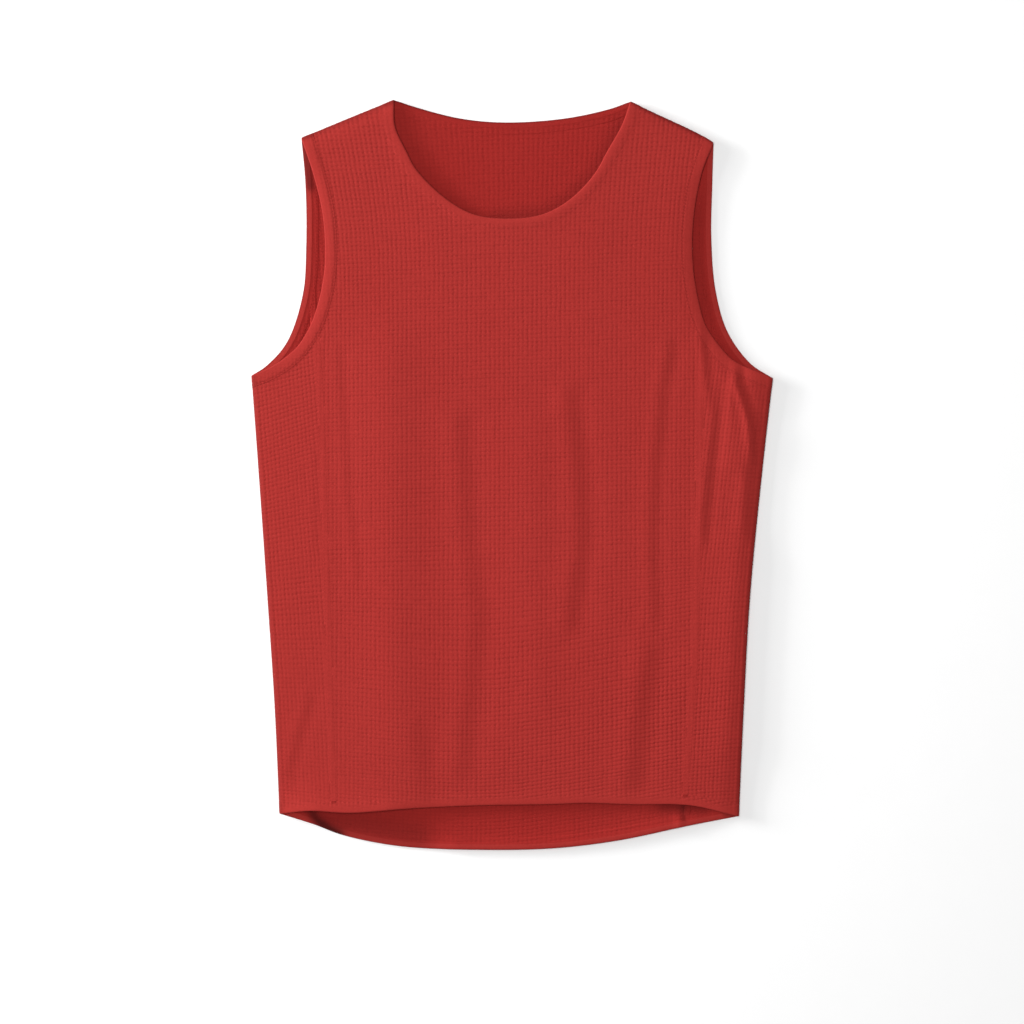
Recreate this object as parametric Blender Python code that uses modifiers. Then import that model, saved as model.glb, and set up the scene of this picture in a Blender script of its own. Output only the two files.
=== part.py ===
"""Sleeveless base layer, laid flat with its front up and its neck towards +Y.

The garment is a flattened tube. Its back layer lies on the surface, its front layer lies on the back
layer, and the cloth rounds a fold along each side and along each shoulder. The pieces are those that are
cut and sewn: a front, a back, two side panels that wrap the side folds, and the bands that bind the neck,
the armholes and the hem. Neighbouring pieces meet edge to edge with a seam gap between them.

Sizes in the tables are millimetres: x across the body, y up the body, z up from the surface.
"""
import math
from collections import namedtuple

import bpy
import numpy as np
from mathutils import Vector
from mathutils.geometry import delaunay_2d_cdt

MM = 0.001

# Cloth
WALL = 1.2  # thickness of the waffle knit and of the bands
SEAM_GAP = 0.3  # between neighbouring pieces
BAND_WIDTH = 10.4  # bands at the neck, the armholes and the hem
BAND_AT_FOLD = 11.0  # the same, measured along a fold that the band crosses

# Folds at the edges of the laid garment
SIDE_FOLD = 3.0  # radius: half of the height of the two layers at the side
SHOULDER_FOLD = 2.4  # the same at the shoulder
FOLD_STEPS = 4  # faces in each quarter turn
SHOULDER_WRAP = 5.0  # how far the front reaches past the shoulder fold, under the garment

# Height of the front layer's outer face
FRONT_HEIGHT = 5.6
NECKLINE_HEIGHT = 5.0
HEM_HEIGHT = 5.0
SHOULDER_HEIGHT = 2 * SHOULDER_FOLD
HEM_SLOPE = (-235, -280)  # y where the height starts and ends its change to the hem's
NECKLINE_SLOPE = (190, 225)
SHOULDER_SLOPE = (250, 290)

# Curves
CURVE_POINTS = 240  # steps along a curve before it is sampled for a piece
SPLINE_STEPS = 40  # steps between two of the points that a curve is given by
END_STEPS = 4  # steps at a curve's end that give its direction past it
CARRIED_STEPS = 20  # how many steps a shoulder's curve is carried on past each end
RAIL_POINTS = 9  # points that give the middle stretch of a band's seam
RAIL_CLEAR = 1.6 * BAND_WIDTH  # that stretch stays this far from the free edge's ends

# Mesh
FINE = 17.0  # spacing of points on the folded front layer
COARSE = 60.0  # spacing on the flat back layer
BAND_SPACING = 11.0  # of the sections of the neck band and the armhole bands
HEM_SPACING = 15.0  # of the sections of the hem band
FILL_CLEAR = 0.45  # share of the spacing that a filling point keeps from an outline or a fold
FOLD_REACH = 1.2  # outline points up to this share of a fold's width belong to it
MIN_STEP = 0.4  # points of an outline that are nearer to the one before are left out
CORNER_LIMIT = 0.5  # cosine of half a corner's turn past which it is moved in no further
FILL_INSIDE = 1  # the triangulation keeps what an outline encloses
MERGE_DISTANCE = 1e-4
TINY = 1e-12  # keeps a division away from 0
FAR_INSIDE = -1e3  # distance past a fold on the side of the body where it is not

Side = namedtuple("Side", "name sign neck_point shoulder armhole_front armhole_back side_edge "
                          "hem_corner seam_front seam_back")
Fold = namedtuple("Fold", "chain width height")
OpenFold = namedtuple("OpenFold", "marks past along at")

# Curves are given by the points that they pass through.
LEFT = Side(
    name="left", sign=-1,
    neck_point=(-98.0, 311.5),
    shoulder=[(-175.0, 279.8), (-136.0, 296.0), (-98.0, 311.5)],
    armhole_front=[(-175.0, 279.8), (-164.5, 248.0), (-156.6, 212.0), (-156.0, 167.0), (-165.2, 129.0),
                   (-177.2, 107.5), (-189.5, 96.3), (-202.0, 88.3), (-216.4, 82.5)],
    armhole_back=[(-175.0, 279.8), (-171.6, 241.0), (-171.0, 190.0), (-173.8, 150.0),
                  (-187.0, 110.2), (-204.4, 90.3), (-216.4, 82.5)],
    side_edge=[(-216.4, 82.5), (-210.3, 0.0), (-203.3, -100.0), (-197.3, -190.0), (-193.1, -281.5)],
    hem_corner=(-193.1, -281.5),
    seam_front=[(-163.0, 135.0), (-157.7, 45.0), (-156.0, -21.0), (-153.6, -87.0), (-151.1, -170.0),
                (-147.5, -290.0)],
    seam_back=[(-166.0, 175.0), (-163.0, 45.0), (-162.0, -87.0), (-160.0, -310.0)],
)
RIGHT = Side(
    name="right", sign=1,
    neck_point=(98.3, 310.1),
    shoulder=[(98.3, 310.1), (120.4, 299.6), (143.6, 288.9), (158.5, 281.4), (167.5, 275.8)],
    armhole_front=[(167.5, 275.8), (157.4, 250.0), (150.6, 212.0), (150.2, 174.0),
                   (155.9, 139.3), (161.5, 122.5), (175.0, 103.6), (184.5, 94.5), (216.6, 80.3)],
    armhole_back=[(167.5, 275.8), (166.4, 241.0), (165.6, 197.0), (169.0, 154.2),
                  (179.0, 119.0), (198.0, 92.6), (216.6, 80.3)],
    side_edge=[(216.6, 80.3), (207.5, 0.0), (197.8, -100.0), (192.7, -190.0), (188.4, -283.6)],
    hem_corner=(188.4, -283.6),
    seam_front=[(159.0, 135.0), (156.0, 45.0), (154.4, -21.0), (153.6, -87.0), (151.9, -145.0),
                (141.5, -290.0)],
    seam_back=[(164.0, 175.0), (161.0, 45.0), (156.0, -87.0), (144.0, -310.0)],
)
NECK_FRONT = [LEFT.neck_point, (-97.0, 289.0), (-88.2, 269.6), (-79.2, 253.0), (-54.5, 228.9),
              (-31.0, 215.9), (-2.0, 212.5), (25.0, 215.9), (47.7, 228.1), (68.0, 249.0),
              (79.7, 269.6), (91.3, 290.3), RIGHT.neck_point]
NECK_BACK = [LEFT.neck_point, (-80.5, 305.6), (-43.2, 296.1), (-5.8, 292.8), (44.0, 296.1),
             (81.3, 304.0), RIGHT.neck_point]
HEM_FRONT = [LEFT.hem_corner, (-167.7, -278.6), (-134.5, -280.2), (-88.0, -277.0), (-26.6, -274.4),
             (34.0, -273.4), (60.0, -272.4), (100.0, -273.6), (147.7, -274.4), RIGHT.hem_corner]
HEM_BACK = [LEFT.hem_corner, (-165.0, -290.3), (-140.3, -299.4), (-93.0, -308.6), (-26.6, -311.4),
            (34.0, -310.2), (89.2, -303.5), (144.4, -291.9), RIGHT.hem_corner]

# Soft folds of the front layer, each along a chain of points: a ridge has a height above 0, a trough one
# below 0. The width is where it has died away to about a third.
FOLDS = [
    Fold([(-128, 94), (-113, -4), (-105, -216)], width=20, height=1.2),  # long ridge down the left
    Fold([(-46, 37), (-27, -220)], width=24, height=-1.3),  # trough left of the middle
    Fold([(14, 60), (20, -190)], width=20, height=0.9),
    Fold([(55, 45), (55, -112)], width=15, height=-1.1),  # trough right of the middle
    Fold([(100, -154), (100, -237)], width=16, height=-1.3),
    Fold([(142, 36), (142, -69)], width=9, height=1.0),
    Fold([(134, 85), (117, -79)], width=11, height=-1.0),
    Fold([(161, 98), (169, 18), (161, -19)], width=7, height=-1.7),  # crease down from the right armhole
    Fold([(180, 77), (180, 14)], width=10, height=1.4),
    Fold([(193, 76), (203, -4)], width=8, height=-1.6),  # hollow under the right arm
    Fold([(-149, 131), (-142, 35), (-134, -70)], width=7, height=-0.9),
    Fold([(-171, -199), (-184, -245)], width=9, height=-1.0),
    Fold([(-60, 200), (60, 196)], width=24, height=0.6),  # low swell under the neckline
]

CLOTH_RED = (0.45, 0.030, 0.028)
BAND_RED = (0.50, 0.040, 0.036)
CLOTH_ROUGHNESS = 0.85


# ---------------------------------------------------------------- curves

def spline(points, count=CURVE_POINTS):
    """Points evenly spaced on a smooth curve (Catmull-Rom) through the given ones."""
    p = np.asarray(points, float)
    p = np.vstack([2 * p[0] - p[1], p, 2 * p[-1] - p[-2]])
    knots = np.concatenate([[0], np.cumsum(np.sqrt(np.linalg.norm(np.diff(p, axis=0), axis=1)))])
    pieces = []
    for i in range(1, len(p) - 2):
        t = np.linspace(knots[i], knots[i + 1], SPLINE_STEPS, endpoint=i == len(p) - 3)[:, None]
        t0, t1, t2, t3 = knots[i - 1:i + 3]
        p0, p1, p2, p3 = p[i - 1:i + 3]
        a1 = (t1 - t) / (t1 - t0) * p0 + (t - t0) / (t1 - t0) * p1
        a2 = (t2 - t) / (t2 - t1) * p1 + (t - t1) / (t2 - t1) * p2
        a3 = (t3 - t) / (t3 - t2) * p2 + (t - t2) / (t3 - t2) * p3
        b1 = (t2 - t) / (t2 - t0) * a1 + (t - t0) / (t2 - t0) * a2
        b2 = (t3 - t) / (t3 - t1) * a2 + (t - t1) / (t3 - t1) * a3
        pieces.append((t2 - t) / (t2 - t1) * b1 + (t - t1) / (t2 - t1) * b2)
    dense = np.vstack(pieces)
    return at_lengths(dense, np.linspace(0, lengths(dense)[-1], count))


def lengths(curve):
    """Length along a curve up to each of its points."""
    return np.concatenate([[0], np.cumsum(np.linalg.norm(np.diff(curve, axis=0), axis=1))])


def at_lengths(curve, marks):
    """The points of a curve at the given lengths along it."""
    s = lengths(curve)
    return np.column_stack([np.interp(marks, s, curve[:, axis]) for axis in (0, 1)])


def offset(curve, distance):
    """A curve moved sideways: to its left for a distance above 0."""
    along = np.gradient(curve, axis=0)
    along /= np.linalg.norm(along, axis=1)[:, None]
    return curve + distance * np.column_stack([-along[:, 1], along[:, 0]])


# ---------------------------------------------------------------- the laid shape

EDGE_OF = {side.name: spline(side.side_edge) for side in (LEFT, RIGHT)}
SHOULDER_OF = {side.name: spline(side.shoulder) for side in (LEFT, RIGHT)}


def straight_ends(value, xs, ys):
    """np.interp with the curve carried on straight past both ends. xs rises."""
    result = np.interp(value, xs, ys)
    low = (ys[END_STEPS] - ys[0]) / (xs[END_STEPS] - xs[0])
    high = (ys[-1] - ys[-1 - END_STEPS]) / (xs[-1] - xs[-1 - END_STEPS])
    result = np.where(value < xs[0], ys[0] + (value - xs[0]) * low, result)
    return np.where(value > xs[-1], ys[-1] + (value - xs[-1]) * high, result)


def edge_x(side, y):
    """x of the side fold at a height on the body."""
    curve = EDGE_OF[side.name][::-1]
    return straight_ends(y, curve[:, 1], curve[:, 0])


def shoulder_y(side, x):
    """y of the shoulder fold at a distance across the body."""
    curve = SHOULDER_OF[side.name]
    return straight_ends(x, curve[:, 0], curve[:, 1])


def from_side(side, x, y):
    """Distance inside the side fold."""
    return -side.sign * (x - edge_x(side, y))


def shoulder_slope(side):
    """How much shorter a distance is square to the shoulder fold than along y."""
    (x1, y1), (x2, y2) = side.shoulder[0], side.shoulder[-1]
    return math.cos(math.atan2(y2 - y1, x2 - x1))


def from_shoulder(side, x, y):
    """Distance inside the shoulder fold."""
    return (shoulder_y(side, x) - y) * shoulder_slope(side)


def smooth(value, start, end):
    """0 at start and 1 at end, with soft ends."""
    t = np.clip((value - start) / (end - start), 0, 1)
    return t * t * (3 - 2 * t)


def quarter(distance, radius):
    """Height share of a rounded fold: 0 on its crown, 1 where the cloth lies flat again."""
    return np.sqrt(np.clip(1 - (1 - np.clip(distance / radius, 0, 1)) ** 2, 0, 1))


def from_chain(chain, x, y):
    """Distance from a chain of straight stretches."""
    nearest = np.full(np.shape(x), np.inf)
    for (x1, y1), (x2, y2) in zip(chain, chain[1:]):
        run_x, run_y = x2 - x1, y2 - y1
        share = np.clip(((x - x1) * run_x + (y - y1) * run_y) / (run_x ** 2 + run_y ** 2), 0, 1)
        nearest = np.minimum(nearest, np.hypot(x - x1 - share * run_x, y - y1 - share * run_y))
    return nearest


def loose_height(x, y):
    """Height of the front layer's outer face, away from the folds at its edges."""
    height = FRONT_HEIGHT
    height = height + (HEM_HEIGHT - FRONT_HEIGHT) * smooth(y, *HEM_SLOPE)
    height = height + (NECKLINE_HEIGHT - FRONT_HEIGHT) * smooth(y, *NECKLINE_SLOPE)
    height = height + (SHOULDER_HEIGHT - NECKLINE_HEIGHT) * smooth(y, *SHOULDER_SLOPE)
    for fold in FOLDS:
        height = height + fold.height * np.exp(-(from_chain(fold.chain, x, y) / fold.width) ** 2)
    return height


def fold_heights(x, y):
    """Each nearby edge fold as its half height and the share of it that is left."""
    for side in (LEFT, RIGHT):
        yield SIDE_FOLD, quarter(from_side(side, x, y), SIDE_FOLD)
        yield SHOULDER_FOLD, quarter(from_shoulder(side, x, y), SHOULDER_FOLD)


def top(x, y):
    """Outer face of the front layer."""
    height = loose_height(x, y)
    for half, share in fold_heights(x, y):
        height = half + (height - half) * share
    return height


def bottom(x, y):
    """Outer face of the back layer: flat on the surface, and rounding up at the folds."""
    height = np.zeros(np.shape(x))
    for half, share in fold_heights(x, y):
        height = np.maximum(height, half * (1 - share))
    return height


# ---------------------------------------------------------------- sampling the edges

def fold_marks(radius):
    """Distances inside a fold that turn it by equal angles."""
    return radius * (1 - np.cos(np.linspace(0, math.pi / 2, FOLD_STEPS + 1)))


def sampled(curve, start, end, spacing):
    """Points of a curve between two folds: by equal turns on each fold, evenly between them.

    start and end are (distance function, radius) of the fold at each end.
    """
    s = lengths(curve)
    head, tail = [], []
    for marks, (distance, radius), order in ((head, start, slice(None)), (tail, end, slice(None, None, -1))):
        away = distance(curve[:, 0], curve[:, 1])[order]
        travelled = s[order]
        stop = int(np.argmax(away > 2 * radius)) + 1
        away = np.maximum.accumulate(away[:stop])
        marks.extend(np.interp(fold_marks(radius), away, travelled[:stop]))
    count = max(2, round((tail[-1] - head[-1]) / spacing) + 1)
    middle = np.linspace(head[-1], tail[-1], count)[1:-1]
    return at_lengths(curve, np.concatenate([head, middle, tail[::-1]]))


def point_on(curve, distance):
    """The point at a length along a curve."""
    return at_lengths(curve, np.array([distance]))[0]


def inner_rail(edge, first, last, width):
    """The seam of a band: its free edge moved in by the band's width, from one fold to the other."""
    moved = offset(edge, width)
    reach = lengths(edge)
    keep = moved[(reach > RAIL_CLEAR) & (reach < reach[-1] - RAIL_CLEAR)]
    return spline([first, *at_lengths(keep, np.linspace(0, lengths(keep)[-1], RAIL_POINTS)), last])


def shoulder_inner(side, from_neck):
    """Where a band's seam crosses the shoulder fold: the neck band's, or the armhole band's."""
    curve = SHOULDER_OF[side.name]
    starts_at_neck = side is RIGHT
    distance = BAND_AT_FOLD if from_neck == starts_at_neck else lengths(curve)[-1] - BAND_AT_FOLD
    return point_on(curve, distance)


def side_inner(side, from_hem):
    """Where a band's seam crosses the side fold: the hem band's, or the armhole band's."""
    curve = EDGE_OF[side.name]
    return point_on(curve, lengths(curve)[-1] - BAND_AT_FOLD if from_hem else BAND_AT_FOLD)


def side_fold(side):
    return (lambda x, y: from_side(side, x, y)), SIDE_FOLD


def shoulder_fold(side):
    return (lambda x, y: from_shoulder(side, x, y)), SHOULDER_FOLD


Rails = namedtuple("Rails", "edge seam")  # the free edge and the seam of one half of a band


def rails(points, first, last, start, end, width, spacing):
    """Free edge and seam of one half of a band, as sampled curves of as many points each."""
    edge = spline(points)
    seam = inner_rail(edge, first, last, width)
    seam_points = sampled(seam, start, end, spacing)
    steps = len(seam_points) - 2 * FOLD_STEPS - 1
    s = lengths(edge)
    on_folds = sampled(edge, start, end, spacing=math.inf)
    head, tail = on_folds[:FOLD_STEPS + 1], on_folds[-FOLD_STEPS - 1:]
    first_s = s[np.argmin(np.linalg.norm(edge - head[-1], axis=1))]
    last_s = s[np.argmin(np.linalg.norm(edge - tail[0], axis=1))]
    middle = at_lengths(edge, np.linspace(first_s, last_s, steps + 1)[1:-1])
    return Rails(np.vstack([head, middle, tail]), seam_points)


def armhole_rails(side):
    """Front and back halves of an armhole band, from the shoulder to the underarm."""
    first, last = shoulder_inner(side, from_neck=False), side_inner(side, from_hem=False)
    ends = shoulder_fold(side), side_fold(side)
    width = -side.sign * BAND_WIDTH
    return tuple(rails(points, first, last, *ends, width, BAND_SPACING)
                 for points in (side.armhole_front, side.armhole_back))


def neck_rails():
    """Front and back halves of the neck band, from the left to the right."""
    first, last = shoulder_inner(LEFT, from_neck=True), shoulder_inner(RIGHT, from_neck=True)
    ends = shoulder_fold(LEFT), shoulder_fold(RIGHT)
    return tuple(rails(points, first, last, *ends, -BAND_WIDTH, BAND_SPACING)
                 for points in (NECK_FRONT, NECK_BACK))


def hem_rails():
    """Front and back halves of the hem band, from the left to the right."""
    first, last = side_inner(LEFT, from_hem=True), side_inner(RIGHT, from_hem=True)
    ends = side_fold(LEFT), side_fold(RIGHT)
    return tuple(rails(points, first, last, *ends, BAND_WIDTH, HEM_SPACING)
                 for points in (HEM_FRONT, HEM_BACK))


# ---------------------------------------------------------------- outlines of the panels

def crossing(curve, other):
    """Index along curve of the segment that other crosses, and the crossing point."""
    for i in range(len(curve) - 1):
        a, b = curve[i], curve[i + 1]
        for j in range(len(other) - 1):
            c, d = other[j], other[j + 1]
            matrix = np.column_stack([b - a, c - d])
            if abs(np.linalg.det(matrix)) > TINY:
                t, u = np.linalg.solve(matrix, c - a)
                if 0 <= t <= 1 and 0 <= u <= 1:
                    return i, a + t * (b - a)
    raise ValueError("the curves do not cross")


def cut(curve, start, end):
    """The stretch of a curve between two crossings, each given as (index, point) or None for its end."""
    first = 0 if start is None else start[0] + 1
    last = len(curve) if end is None else end[0] + 1
    parts = [] if start is None else [start[1]]
    parts.extend(curve[first:last])
    if end is not None:
        parts.append(end[1])
    return np.array(parts)


def mirrored_over_shoulder(side, points):
    """Points of the back layer, opened out past the shoulder fold."""
    return np.column_stack([points[:, 0], 2 * shoulder_y(side, points[:, 0]) - points[:, 1]])


def mirrored_over_side(side, points):
    """Points of the back layer, opened out past the side fold."""
    return np.column_stack([2 * edge_x(side, points[:, 1]) - points[:, 0], points[:, 1]])


def seam_between(points, upper, lower, spacing):
    """A side seam from the armhole band's seam to the hem band's seam, with its crossings of both."""
    seam = spline(points)
    at_upper, at_lower = crossing(upper, seam), crossing(lower, seam)
    s = lengths(seam)
    start, end = [s[np.argmin(np.linalg.norm(seam - point, axis=1))] for _, point in (at_upper, at_lower)]
    count = round((end - start) / spacing)
    return at_upper, at_lower, at_lengths(seam, np.linspace(start, end, count + 1)[1:-1])


def wrap_line(side, neck, armhole):
    """The back end of the front's wrap over a shoulder, between the bands' seams."""
    curve = SHOULDER_OF[side.name].copy()
    curve[:, 1] -= SHOULDER_WRAP
    before = 2 * curve[0] - curve[CARRIED_STEPS]
    after = 2 * curve[-1] - curve[-CARRIED_STEPS]
    curve = np.vstack([before, curve, after])
    return crossing(neck, curve), crossing(armhole, curve)


def straight(a, b, spacing):
    """Points spaced evenly on the straight stretch from a to b, without its ends."""
    count = max(1, round(np.linalg.norm(b - a) / spacing))
    return a + (b - a) * np.linspace(0, 1, count + 1)[1:-1, None]


# ---------------------------------------------------------------- meshes

def inside(points, polygon):
    """Which points lie inside a closed outline."""
    a, b = polygon, np.roll(polygon, -1, axis=0)
    x, y = points[:, 0, None], points[:, 1, None]
    spans = (a[:, 1] > y) != (b[:, 1] > y)
    rise = np.where(b[:, 1] == a[:, 1], 1, b[:, 1] - a[:, 1])
    hits = spans & (x < (b[:, 0] - a[:, 0]) * (y - a[:, 1]) / rise + a[:, 0])
    return hits.sum(axis=1) % 2 == 1


def clearance(points, polygon):
    """Distance from each point to a closed outline."""
    a, b = polygon, np.roll(polygon, -1, axis=0)
    run = b - a
    rel = points[:, None, :] - a
    share = np.clip((rel * run).sum(2) / np.maximum((run * run).sum(1), TINY), 0, 1)
    return np.linalg.norm(rel - share[..., None] * run, axis=2).min(axis=1)


def shrunk(polygon, distance):
    """A closed outline, anticlockwise, moved in by a distance."""
    before, after = np.roll(polygon, 1, axis=0), np.roll(polygon, -1, axis=0)
    d1, d2 = polygon - before, after - polygon
    n1 = np.column_stack([-d1[:, 1], d1[:, 0]]) / np.linalg.norm(d1, axis=1)[:, None]
    n2 = np.column_stack([-d2[:, 1], d2[:, 0]]) / np.linalg.norm(d2, axis=1)[:, None]
    middle = n1 + n2
    middle /= np.linalg.norm(middle, axis=1)[:, None]
    stretch = 1 / np.maximum((middle * n1).sum(1), CORNER_LIMIT)
    return polygon + distance * stretch[:, None] * middle


def fold_lattice(outline, fold, spacing):
    """Points and edges of a lattice that turns the cloth round a fold, from one side of an outline to
    the other: its rows are fold.marks apart, and they end on the outline's own points."""
    past = fold.past(outline[:, 0], outline[:, 1])
    along = fold.along(outline[:, 0], outline[:, 1])
    near = np.flatnonzero(np.abs(past) < FOLD_REACH * fold.marks[-1])
    halfway = (along[near].min() + along[near].max()) / 2
    ends = [near[along[near] < halfway], near[along[near] > halfway]]
    marks = [*(-fold.marks[:0:-1]), *fold.marks]
    rows = [[end[np.argmin(np.abs(past[end] - mark))] for end in ends] for mark in marks]
    columns = round((along[ends[1]].min() - along[ends[0]].max()) / spacing)
    shares = np.linspace(0, 1, columns + 1)[1:-1]
    points, edges = [], []
    for row, (mark, (low, high)) in enumerate(zip(marks, rows)):
        first = len(outline) + len(points)
        points += [fold.at(along[low] + (along[high] - along[low]) * share, mark) for share in shares]
        chain = [low, *range(first, first + len(shares)), high]
        edges += list(zip(chain, chain[1:]))
        if row:
            edges += [(i - len(shares), i) for i in chain[1:-1]]
    return np.array(points), edges


def panel_mesh(name, outline, spacing, place, folds=()):
    """A panel's outer face: an outline filled with points, each set in space by place(x, y)."""
    outline = shrunk(outline, SEAM_GAP / 2)
    edges = [(i, (i + 1) % len(outline)) for i in range(len(outline))]
    low, high = outline.min(axis=0), outline.max(axis=0)
    xs = np.arange(low[0] + spacing / 2, high[0], spacing)
    ys = np.arange(low[1] + spacing / 2, high[1], spacing)
    fill = np.array([(x + spacing / 2 * (row % 2), y) for row, y in enumerate(ys) for x in xs])
    fill = fill[inside(fill, outline)]
    fill = fill[clearance(fill, outline) > FILL_CLEAR * spacing]
    points = outline
    for fold in folds:
        fill = fill[np.abs(fold.past(fill[:, 0], fill[:, 1])) > fold.marks[-1] + FILL_CLEAR * spacing]
        lattice, lattice_edges = fold_lattice(outline, fold, spacing)
        shift = len(points) - len(outline)
        edges += [tuple(i + shift if i >= len(outline) else i for i in edge) for edge in lattice_edges]
        points = np.vstack([points, lattice])
    points = np.vstack([points, fill])
    flat, _, faces, *_ = delaunay_2d_cdt([Vector(p) for p in points], edges, [], FILL_INSIDE, MERGE_DISTANCE)
    flat = np.array([tuple(p) for p in flat])
    x, y, z = place(flat[:, 0], flat[:, 1])
    mesh = bpy.data.meshes.new(name)
    mesh.from_pydata(list(zip(x * MM, y * MM, z * MM)), [], [tuple(face) for face in faces])
    return mesh


def band_mesh(name, front, back):
    """A band's outer face: a closed strip that runs along the front half and returns along the back."""
    gap = SEAM_GAP / 2

    def lifted(half, height):
        across = half.edge - half.seam
        across /= np.linalg.norm(across, axis=1)[:, None]
        seam = half.seam + gap * across
        return [np.column_stack([line, height(line[:, 0], line[:, 1])]) for line in (half.edge, seam)]

    front_edge, front_seam = lifted(front, top)
    back_edge, back_seam = lifted(back, bottom)
    for line in (front_seam, back_seam):  # the two halves share their sections on the crowns of the folds
        for end in (0, -1):
            line[end] = (front_seam[end] + back_seam[end]) / 2
    edge = np.vstack([front_edge, back_edge[-2:0:-1]])
    seam = np.vstack([front_seam, back_seam[-2:0:-1]])
    middle = (edge + seam) / 2
    count = len(edge)
    x, y = middle[:, 0], middle[:, 1]
    on_front = np.arange(count) < len(front_edge)
    middle[:, 2] = np.where(on_front, top(x, y), bottom(x, y))
    rows = [edge, middle, seam]
    faces = []
    for column in range(len(rows) - 1):
        for i in range(count):
            j = (i + 1) % count
            faces.append((column * count + i, column * count + j, (column + 1) * count + j,
                          (column + 1) * count + i))
    mesh = bpy.data.meshes.new(name)
    mesh.from_pydata([tuple(p * MM) for row in rows for p in row], [], faces)
    return mesh


def facing_out(mesh, on_front):
    """Turns the faces so that the outer one of the front layer looks up, or that of the back down."""
    if on_front:
        probe = max(mesh.polygons, key=lambda face: face.center.z)
        wrong = probe.normal.z < 0
    else:
        probe = min(mesh.polygons, key=lambda face: face.center.z)
        wrong = probe.normal.z > 0
    if wrong:
        mesh.flip_normals()


def material(name, colour):
    """A plain matt material."""
    result = bpy.data.materials.new(name)
    result.use_nodes = True
    shader = result.node_tree.nodes["Principled BSDF"]
    shader.inputs["Base Color"].default_value = (*colour, 1.0)
    shader.inputs["Roughness"].default_value = CLOTH_ROUGHNESS
    shader.inputs["Metallic"].default_value = 0.0
    return result


def cloth_object(mesh, colour, collection, on_front=True):
    """A wall of cloth under its outer face."""
    facing_out(mesh, on_front)
    mesh.shade_smooth()
    mesh.materials.append(material(mesh.name + "_cloth", colour))
    piece = bpy.data.objects.new(mesh.name, mesh)
    collection.objects.link(piece)
    wall = piece.modifiers.new("wall", "SOLIDIFY")
    wall.thickness = WALL * MM
    wall.offset = -1
    wall.use_even_offset = False
    return piece


# ---------------------------------------------------------------- pieces

def on_front_layer(x, y):
    """Places a point of the front: past a shoulder fold it goes under."""
    folded = y.copy()
    for side in (LEFT, RIGHT):
        crown = shoulder_y(side, x)
        past = (y > crown) & (side.sign * x > 0)
        folded = np.where(past, 2 * crown - y, folded)
    return x, folded, np.where(folded < y, bottom(x, folded), top(x, folded))


def on_side(side):
    """Places a point of a side panel: past the side fold it goes under."""
    def place(x, y):
        crown = edge_x(side, y)
        past = side.sign * (x - crown) > 0
        folded = np.where(past, 2 * crown - x, x)
        return folded, y, np.where(past, bottom(folded, y), top(folded, y))
    return place


def on_back_layer(x, y):
    return x, y, bottom(x, y)


def opened_side(side):
    """The side fold in a panel's opened-out outline."""
    return OpenFold(
        marks=fold_marks(SIDE_FOLD),
        past=lambda x, y: side.sign * (x - edge_x(side, y)),
        along=lambda x, y: y,
        at=lambda along, past: (float(edge_x(side, along)) + side.sign * past, along),
    )


def opened_shoulder(side):
    """The shoulder fold in the front's opened-out outline."""
    return OpenFold(
        marks=fold_marks(SHOULDER_FOLD) / shoulder_slope(side),
        past=lambda x, y: np.where(side.sign * x > 0, y - shoulder_y(side, x), FAR_INSIDE),
        along=lambda x, y: x,
        at=lambda along, past: (along, float(shoulder_y(side, along)) + past),
    )


def rounded(points_list):
    """One closed outline, anticlockwise, from stretches laid end to end."""
    outline = np.vstack(points_list)
    step = np.linalg.norm(outline - np.roll(outline, 1, axis=0), axis=1)
    outline = outline[step > MIN_STEP]
    x, y = outline[:, 0], outline[:, 1]
    area = (x * np.roll(y, -1) - np.roll(x, -1) * y).sum()
    return outline if area > 0 else outline[::-1]


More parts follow.
